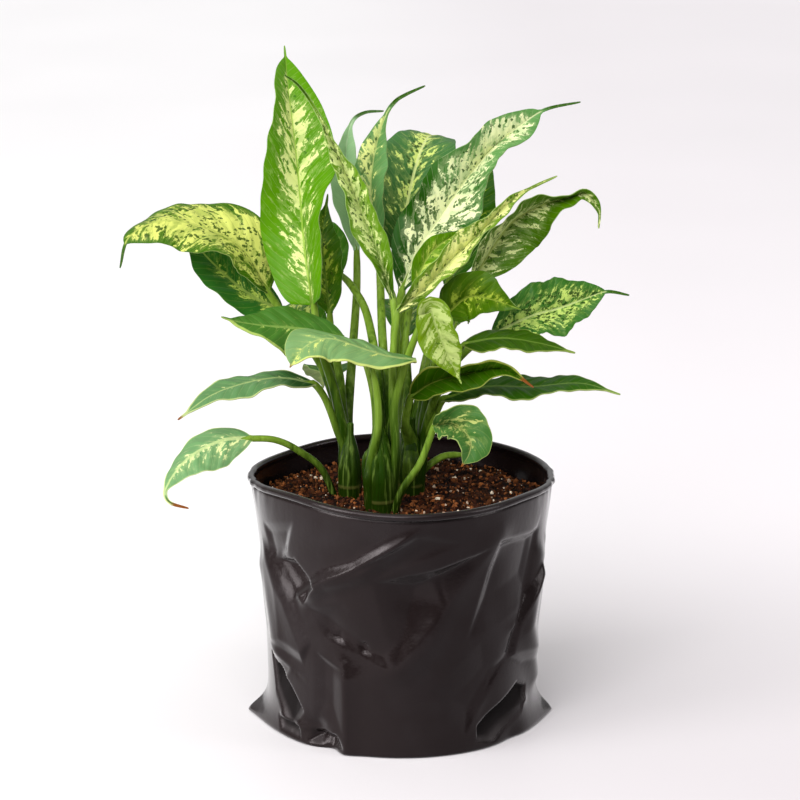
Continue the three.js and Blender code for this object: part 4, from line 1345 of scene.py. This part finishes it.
@dataclass(frozen=True)
class FilmSkin:
    """The finish of black film: glossy, with a fine crumple, painted shade inside its slits and a
    painted highlight on its pleats' crests.
    """

    colour: str = "#0e0909"
    dust: str = "#191617"
    # The slit colour is painted shade, the crest colour a painted highlight.
    shaded_slit: str = "#020101"
    crest: str = "#4c4647"
    rough: float = 0.11
    crumple: float = 0.5
    shine: float = 0.18
    coat_rough: float = 0.2

    def material(self) -> Material:
        """Makes the material, which reads the marks that GrowBag keeps on its mesh."""
        paint = Paint(bpy.data.materials.new("black_film"))
        place = paint.places()
        long = paint.cloud(paint.stretched(place, (1.0, 1.0, 0.35)), 60, 3)
        fine = paint.cloud(place, 420, 3, 0.6)
        dust = paint.cloud(place, 30, 4, 0.6)
        shaded_slit, crest, _ = paint.marks("film")
        facing = paint.node("ShaderNodeLayerWeight", {"Blend": 0.5}).outputs["Facing"]
        # Over the film's own colour and dust: painted shade that blackens the slits, which also
        # turn rough and lose their coat, and a painted highlight along the pleats' crests.
        skin = paint.layers(
            self.colour,
            (dust.step(0.4, 1.0) * 0.35, self.dust),
            (shaded_slit, self.shaded_slit),
            (crest, self.crest),
        )
        return paint.done(
            {
                "Base Color": skin,
                "Roughness": fine * 0.08 + dust * 0.1 + shaded_slit * 0.9 + self.rough,
                "Normal": paint.relief(long * 0.45 + fine * 0.1, self.crumple),
                "IOR": 1.5,
                "Specular IOR Level": self.shine,
                "Coat Weight": Amount(paint, facing).step(0.3, 0.8) * (1 - shaded_slit),
                "Coat Roughness": self.coat_rough,
                "Specular Tint": "#fff3f5",
            }
        )


@dataclass
class GrowBag:
    """The bag: black film round the soil, with creases, a rolled hem and two base corners.

    The hem rolls from `hem_start` to `height`, `hem_bulge` out of the wall and `hem_fold` into
    it. The rim is loose above `rim_start` and slumps above `slump_start`, more and more over
    `slump_reach`. Folds fade out over the last `calm` millimetres below the hem. The rim is
    gathered at `pleat_ends`, `pleat_spread` degrees to each side. The facets' corners are laid out
    on a wall of radius `unrolled`, and `profile` holds heights and radii of the wall.
    """

    film: float = 1.0
    height: float = 141
    hem_start: float = 136.5
    hem_bulge: float = 1.8
    hem_fold: float = 2.4
    soil_edge: float = 125.5
    columns: int = 440
    wall_rows: int = 112
    hem_rows: int = 18
    inner_rows: tuple[int, int] = (22, 34)
    unrolled: float = 76
    rim_start: float = 118
    slump_start: float = 50
    slump_reach: float = 86
    calm: float = 20
    pleat_ends: tuple[float, float] = (-84, 86)
    pleat_spread: float = 17
    profile: Route = (
        (0, 76.6), (6, 76.2), (18, 75.4), (45, 76), (80, 77.5), (110, 80.5), (132, 84), (141, 84.6),
    )
    ears: tuple[Ear, ...] = (Ear(180, 11, 14, 9), Ear(0, 9, 14, 9))

    def off_route(self, route: Route, turn: Array, height: Array, radius: Array) -> Array:
        """Distances over the unrolled wall to a route, + to its left.

        Args:
            route: degrees from the front and heights.
            turn: degrees from the front of each point.
            height: the height of each point.
            radius: the wall's radius at each point.

        Returns:
            Millimetres, with their sign.
        """
        best = np.full(turn.shape, 1e9)
        for full in (-360, 0, 360):
            x = np.radians(turn + full) * radius
            for (a0, h0), (a1, h1) in zip(route, route[1:], strict=False):
                x0, x1 = np.radians(a0) * radius, np.radians(a1) * radius
                dx, dy = x1 - x0, h1 - h0
                t = clipped(((x - x0) * dx + (height - h0) * dy) / (dx * dx + dy * dy))
                ex, ey = x - x0 - dx * t, height - h0 - dy * t
                side = np.sign(dx * ey - dy * ex)
                away = np.hypot(ex, ey) * np.where(side == 0, 1, side)
                best = np.where(np.abs(away) < np.abs(best), away, best)
        return best

    def facet_depth(self, facet: Facet, turn: Array, height: Array) -> Array:
        """How far a facet moves the wall.

        Args:
            facet: the dent or bulge.
            turn: degrees from the front of each point.
            height: the height of each point.

        Returns:
            Millimetres, + outward.
        """
        start = facet.corners[0][0]
        arc = math.radians(self.unrolled)
        x = (np.mod(turn - start + 180, 360) - 180) * arc
        corners = [((angle - start) * arc, level) for angle, level in facet.corners]
        ends = corners[1:] + corners[:1]
        level = np.full(turn.shape, abs(facet.depth))
        for (x0, y0), (x1, y1), slope in zip(corners, ends, facet.slopes, strict=True):
            dx, dy = x1 - x0, y1 - y0
            inside = ((x - x0) * dy - (height - y0) * dx) / math.hypot(dx, dy)
            level = np.minimum(level, inside * slope)
        return math.copysign(1, facet.depth) * np.maximum(level, 0)

    def wall_radius(self, direction: Array, height: Array) -> Array:
        """The wall's radius, with every fold, crease and facet of the film.

        Args:
            direction: degrees from +X.
            height: heights in millimetres.

        Returns:
            Radii in millimetres.
        """
        table = np.array(self.profile)
        levels = [np.interp(height + d, table[:, 0], table[:, 1]) for d in np.linspace(-12, 12, 9)]
        radius = np.mean(levels, axis=0)
        for slump in SLUMPS:
            radius = radius - slump.inward * self.slump_share(slump, direction, height)
        for ear in self.ears:
            away = spin_from_front(direction - ear.direction - 90) / ear.spread
            flap = np.exp(-((height / ear.rise) ** 2))
            radius = radius + ear.reach * np.exp(-np.abs(away)) * flap
        calm = clipped((self.height - height - 4) / self.calm)
        calm = calm * calm * (3 - 2 * calm)
        turn = spin_from_front(direction)
        for fold in (*FOLDS, *CREASES):
            away = self.off_route(fold.route, turn, height, radius)
            radius = radius + calm * fold.rise(away)
        for facet in FACETS:
            radius = radius + calm * self.facet_depth(facet, turn, height)
        return radius

    def slump_share(self, slump: Slump, direction: Array, height: Array) -> Array:
        """How much of a slump is felt at directions and heights, 0 to 1."""
        away = spin_from_front(spin_from_front(direction) - slump.turn - 90) / slump.wide
        return np.exp(-away * away) * clipped((height - self.slump_start) / self.slump_reach) ** 2

    def course(self) -> Array:
        """The bag's section from the middle of its base, over the hem, to its inner bottom.

        Returns:
            Rows of height, millimetres inward from the wall, and 1 on the wall's radius or 0 at
            the axis.
        """
        foot = [(0, 0, 0), (0, 30, 1), (0, 4, 1), (0.35, 0.6, 1), (1.1, 0, 1)]
        wall = [(h, 0, 1) for h in np.linspace(2.2, self.hem_start - 0.6, self.wall_rows)]
        middle = (self.height + self.hem_start) / 2 + 0.2
        deep = (self.height - self.hem_start) / 2 - 0.2
        half = (self.hem_bulge + self.hem_fold) / 2
        offset = (self.hem_fold - self.hem_bulge) / 2
        turns = np.radians(np.linspace(-150, 190, self.hem_rows)) + 0.9
        hem = [(middle + deep * math.sin(t), offset - half * math.cos(t), 1) for t in turns]
        near = np.linspace(self.hem_start - 1.5, 110, self.inner_rows[0])
        below = np.linspace(106, self.film, self.inner_rows[1])
        inner = [(h, self.film, 1) for h in [*near, *below]]
        return np.array([*foot, *wall, *hem, *inner, (self.film, 0, 0)])

    def on_course(self, along: Array) -> tuple[Array, Array]:
        """Where points lie on the section.

        Args:
            along: the points' shares along the flat grid.

        Returns:
            Their rows of the section, and how many rows they are past the hem, - before it.
        """
        course = self.course()
        index = np.rint(along * (len(course) - 1)).astype(int)
        return course[index].T, index - (len(course) - sum(self.inner_rows) - 1)

    def place(self, around: Array, along: Array) -> Array:
        """Gives each point of the flat grid its place on the bag."""
        (height, inward, on_wall), past_hem = self.on_course(along)
        direction = 360 * around
        radius = self.wall_radius(direction, np.minimum(height, self.hem_start))
        spin = spin_from_front(direction)
        slack = 0.35 * np.sin(np.radians(spin * 3 + 40)) + 0.2 * np.sin(np.radians(spin * 7))
        rim = clipped((height - self.rim_start) / 18) ** 2
        gathers = self.pleats(spin) * np.where(past_hem >= 0, 1.1, 0.3) * rim
        radius = (radius - inward + slack * rim + gathers) * on_wall
        turn = np.radians(direction)
        dip = 0.5 * np.sin(np.radians(spin * 2 + 70)) * rim
        for slump in SLUMPS:
            dip = dip + slump.lift * self.slump_share(slump, direction, height)
        return np.stack([radius * np.cos(turn), radius * np.sin(turn), height + dip], 1)

    def pleats(self, spin: Array) -> Array:
        """The rim's small gathers at both of its ends, out (+) and in (-), about -1.6 to 1.6."""
        away = [spin_from_front(spin - end - 90) / self.pleat_spread for end in self.pleat_ends]
        near = sum(np.exp(-(share**2)) for share in away)
        folds = np.sin(np.radians(spin * 31 + 50 * np.sin(np.radians(spin * 9))))
        folds = folds + 0.6 * np.sin(np.radians(spin * 53 + 80 * np.sin(np.radians(spin * 5))))
        return near * folds

    def marks(self, around: Array, along: Array) -> Array:
        """How much painted shade blackens each point inside a slit, and how much painted highlight
        pales a pleat's crest.
        """
        (height, _, _), past_hem = self.on_course(along)
        spin = spin_from_front(360 * around)
        depths = [self.facet_depth(facet, spin, height) for facet in FACETS if facet.shaded_slit]
        # Painted shade: how black the inside of each slit is painted, by its depth.
        shaded_slit = clipped(-np.min(depths, axis=0) / 2.0 - 0.2) * (past_hem < 0)
        inside = (past_hem > 1) * clipped((height - self.rim_start) / 14)
        # Painted highlight: a pale grey along the crests of the rim's inner pleats, in place of
        # their glints.
        crest = np.clip(-self.pleats(spin) - 0.35, 0, 0.8) * inside
        return np.stack([shaded_slit, crest, 0 * crest], 1)

    def build(self) -> Piece:
        """Makes the bag."""
        rows = len(self.course()) - 1
        piece, around, along = shaped_sheet("film_bag", self.columns, rows, self.place)
        put_marks(piece, "film", self.marks(around, along))
        close_seams(piece)
        smooth(piece, 80)
        settle(piece, "grow_bag", FilmSkin().material())
        return piece


# ---------------------------------------- the soil


@dataclass(frozen=True)
class SoilSkin:
    """The finish of damp potting soil, near black in the low places of its bump as painted shade,
    and of the crumbs that lie on it.
    """

    damp_and_hollow_shade: str = "#080100"
    lump: str = "#3c1b0b"
    crumb: str = "#92562e"
    pale: str = "#f4e4cc"
    rough: float = 0.7
    depth: float = 0.6
    shine: float = 0.1

    def material(self) -> Material:
        """Makes the material, which reads the shade that each crumb keeps."""
        paint = Paint(bpy.data.materials.new("potting_soil"))
        shade, pale, _ = paint.marks("crumb")
        place = paint.places()
        lumps = paint.cloud(place, 260, 4, 0.65)
        fine = paint.cloud(place, 900, 3, 0.6)
        # The base colour is the soil's own dark and painted shade at once: it shows where the
        # lumps' bump is low.
        skin = paint.layers(
            self.damp_and_hollow_shade, (lumps.step(0.35, 0.8), self.lump), (shade, self.crumb), (pale, self.pale)
        )
        return paint.done(
            {
                "Base Color": skin,
                "Roughness": fine * 0.2 + self.rough,
                "Normal": paint.relief(lumps * 0.6 + fine * 0.4, self.depth),
                "Specular IOR Level": self.shine,
            }
        )


@dataclass
class SoilBed:
    """The soil: a closed body that fills the bag, with a crumbly top and loose crumbs."""

    bag: GrowBag
    top: float = 127
    gap: float = 0.6
    bottom: float = 100
    sides: int = 14
    rings: int = 110
    columns: int = 280
    crumbs: int = 5200
    least_crumb: float = 0.22
    crumb_spread: float = 1.5
    dark_share: float = 0.6
    pale_share: float = 0.05
    seed: int = 11

    def height(self, x: Array, y: Array) -> Array:
        """The soil's height at places in millimetres."""
        rough = np.sin(x / 6.5 + 1) * np.cos(y / 7.5) + 0.6 * np.sin((x + y) / 4.2)
        lumps = [
            noise.fractal(Vector((a / 5.5, b / 5.5, 3.0)), 0.9, 2.1, 4)
            for a, b in zip(x.tolist(), y.tolist(), strict=True)
        ]
        return self.top + 0.9 * rough + 1.9 * np.array(lumps)

    def side_radius(self, direction: Array, level: Array) -> Array:
        """The soil's radius at directions in degrees and at heights."""
        return self.bag.wall_radius(direction, level) - self.bag.film - self.gap

    def place(self, around: Array, along: Array) -> Array:
        """Gives each point of the flat grid its place on the soil's skin."""
        direction = 360 * around
        turn = np.radians(direction)
        levels = np.array([self.bottom, *np.linspace(self.bottom, self.bag.soil_edge, self.sides)])
        row = np.rint(along * (self.rings + self.sides)).astype(int)
        inside = clipped((row - self.sides) / self.rings)
        level = levels[np.minimum(row, self.sides)]
        radius = self.side_radius(direction, level) * (1 - inside) * (row > 0)
        x, y = radius * np.cos(turn), radius * np.sin(turn)
        lift = (self.height(x, y) - self.bag.soil_edge) * clipped(inside * 12)
        return np.stack([x, y, level + lift], 1)

    def build_bed(self) -> Piece:
        """Makes the soil's body."""
        piece, _, _ = shaped_sheet("soil_bed", self.columns, self.rings + self.sides, self.place)
        close_seams(piece)
        put_marks(piece, "crumb", np.zeros((len(piece.data.vertices), 3)))
        smooth(piece, 80)
        return piece

    def build_crumbs(self) -> Piece:
        """Makes one crumb and strews copies of it over the soil."""
        pick()
        bpy.ops.mesh.primitive_ico_sphere_add(subdivisions=1, radius=1)
        piece = bpy.context.object
        piece.name = piece.data.name = "soil_crumbs"
        ball = points_of(piece) * MM
        faces = np.array([list(p.vertices) for p in piece.data.polygons])
        count = self.crumbs
        draw = np.random.default_rng(self.seed).uniform
        turn = draw(0, 2 * np.pi, count)
        rim = self.side_radius(np.degrees(turn), 0 * turn + self.bag.soil_edge)
        radius = rim * np.sqrt(draw(0, 0.96, count))
        size = draw(0.2, 1.0, count) ** 3 * self.crumb_spread + self.least_crumb
        x, y = radius * np.cos(turn), radius * np.sin(turn)
        middle = np.stack([x, y, self.height(x, y) + size * 0.3], 1)
        warp = draw(0.55, 1.35, (count, len(ball), 1))
        flat = draw(0.5, 1.2, (count, 1, 3))
        spots = ball[None] * warp * flat * size[:, None, None] + middle[:, None]
        kind = draw(0, 1, count)
        shade = np.where(kind < self.dark_share, draw(0, 0.3, count), draw(0.4, 1, count))
        pale = np.where(kind > 1 - self.pale_share, draw(0.25, 1, count), 0)
        index = faces[None] + (np.arange(count) * len(ball))[:, None, None]
        points, triangles = spots.reshape(-1, 3) * MM, index.reshape(-1, 3)
        piece.data.clear_geometry()
        piece.data.from_pydata(points.tolist(), [], triangles.tolist())
        marks = np.stack([shade, pale, 0 * pale], 1)
        put_marks(piece, "crumb", np.repeat(marks, len(ball), 0))
        return piece

    def build(self) -> None:
        """Makes the soil and its crumbs."""
        skin = SoilSkin().material()
        for piece in (self.build_bed(), self.build_crumbs()):
            settle(piece, "potting_soil", skin)


# ---------------------------------------- the studio

LEFT_LAMP = (-1.22, -0.6, 0.74)
RIGHT_LAMP = (1.3, -0.45, 0.7)
BAG_MIDDLE = (0, 0, 0.1)


@dataclass
class Studio:
    """The pale floor, the soft lights and the camera."""

    lens: float = 130.0
    camera_place: Point = (-0.001, -1.552, 0.569)
    camera_target: Point = (-0.001, 0.0, 0.182)
    floor_radius: float = 14.0
    view_end: float = 100.0

    def aimed(self, thing: Piece, place: Point, target: Point) -> None:
        """Puts a lamp or the camera at its place, turned to its target."""
        thing.location = place
        thing.rotation_euler = (Vector(target) - Vector(place)).to_track_quat("-Z", "Y").to_euler()
        bpy.context.scene.collection.objects.link(thing)

    def add_camera(self) -> None:
        """Adds the camera at the photograph's angle."""
        lens = bpy.data.cameras.new("camera")
        lens.lens, lens.sensor_width = self.lens, 36.0
        lens.clip_end = self.view_end
        camera = bpy.data.objects.new("camera", lens)
        self.aimed(camera, self.camera_place, self.camera_target)
        bpy.context.scene.camera = camera

    def add_softbox(
        self,
        name: str,
        place: Point,
        size: tuple[float, float],
        power: float,
        target: Point = BAG_MIDDLE,
    ) -> Piece:
        """Adds a rectangular lamp.

        Args:
            name: the lamp's name.
            place: where it hangs, in metres.
            size: its width and height.
            power: its power in watts.
            target: what it points at.

        Returns:
            The lamp.
        """
        light = bpy.data.lights.new(name, "AREA")
        light.shape = "RECTANGLE"
        light.size, light.size_y = size
        light.energy = power
        lamp = bpy.data.objects.new(name, light)
        self.aimed(lamp, place, target)
        return lamp

    def add_sun(self, name: str, place: Point, strength: float, angle: float) -> None:
        """Adds a broad, even light from far away.

        Args:
            name: the lamp's name.
            place: a place that it shines from, towards the origin.
            strength: how strong it is.
            angle: how many degrees wide it looks.
        """
        light = bpy.data.lights.new(name, "SUN")
        light.energy, light.angle = strength, math.radians(angle)
        self.aimed(bpy.data.objects.new(name, light), place, (0, 0, 0))

    def add_sky(self) -> None:
        """Lights the whole set softly: bright from above, dim from the room in front."""
        world = bpy.data.worlds.new("studio")
        bpy.context.scene.world = world
        sky = Paint(world)
        _, depth, up = sky.split(sky.node("ShaderNodeTexCoord").outputs["Generated"])
        power = up.ramp(-0.05, 0.6, 0.3, 0.95) * depth.ramp(-0.9, 0.3, 0.5, 1.0)
        lit = sky.node("ShaderNodeBackground", {1: power}).outputs[0]
        seen = sky.node("ShaderNodeBackground", {0: "#faf7f8"}).outputs[0]
        to_camera = sky.node("ShaderNodeLightPath").outputs["Is Camera Ray"]
        both = sky.node("ShaderNodeMixShader", {0: to_camera, 1: lit, 2: seen}).outputs[0]
        sky.node("ShaderNodeOutputWorld", {"Surface": both})

    def add_floor(self) -> None:
        """Adds the floor, near white with painted shade: greyer to the right and in front of the
        plant, and a painted dark grey zone far in front for the film to mirror.
        """
        pick()
        bpy.ops.mesh.primitive_circle_add(vertices=96, radius=self.floor_radius, fill_type="NGON")
        floor = bpy.context.object
        floor.name = "floor"
        paint = Paint(bpy.data.materials.new("floor_painted_shade"))
        across, depth, _ = paint.split(paint.places())
        # Painted shade on the floor: greyer in front of the plant and to its right, and dark grey
        # far in front, standing in for the dim room.
        near = paint.layers("#e2dfe0", (across.step(-0.3, 0.25), "#ccc6c9"))
        skin = paint.layers(
            "#f2f0f1",
            (across.step(-0.3, 0.3), "#e7e2e5"),
            (depth.step(0.5, -0.15), near),
            (depth.step(-0.4, -0.9), "#999396"),
        )
        rough = paint.cloud(paint.places(), 3) * 0.1 + 0.45
        floor.data.materials.append(paint.done({"Base Color": skin, "Roughness": rough}))

    def build(self) -> None:
        """Sets up the floor, the lights and the camera."""
        bpy.context.scene.view_settings.view_transform = "Standard"
        self.add_camera()
        self.add_floor()
        self.add_sky()
        self.add_sun("key", (-0.6, -1.0, 1.25), 2.5, 70)
        self.add_softbox("left", LEFT_LAMP, (0.6, 1.0), 7)
        self.add_softbox("right", RIGHT_LAMP, (0.4, 0.9), 3.5)
        self.add_softbox("front", (-0.55, -1.5, 1.25), (0.9, 0.5), 14, (0, 0, 0.15))

    def add_glints(self, film: Piece) -> None:
        """Adds two strip lamps that only the film sees, for the glints along its folds.

        Args:
            film: the finished bag.
        """
        seen_by = bpy.data.collections.new("film_only")
        seen_by.objects.link(film)
        for name, place, power in (("glint_left", LEFT_LAMP, 70), ("glint_right", RIGHT_LAMP, 16)):
            lamp = self.add_softbox(name, place, (0.5, 0.9), power)
            lamp.light_linking.receiver_collection = seen_by


def main() -> None:
    """Builds the studio and the plant, piece by piece."""
    logging.basicConfig(level=logging.INFO, format="%(message)s", force=True)
    studio = Studio()
    studio.build()
    bag = GrowBag()
    studio.add_glints(bag.build())
    SoilBed(bag).build()
    skin = StemSkin().material()
    for stand in Stand:
        Stalk(stand, skin).build()
    for name, shape in LEAVES.items():
        Blade(name, shape, LOOKS.get(name, BACK_LOOK)).build()


if __name__ == "__main__":
    main()
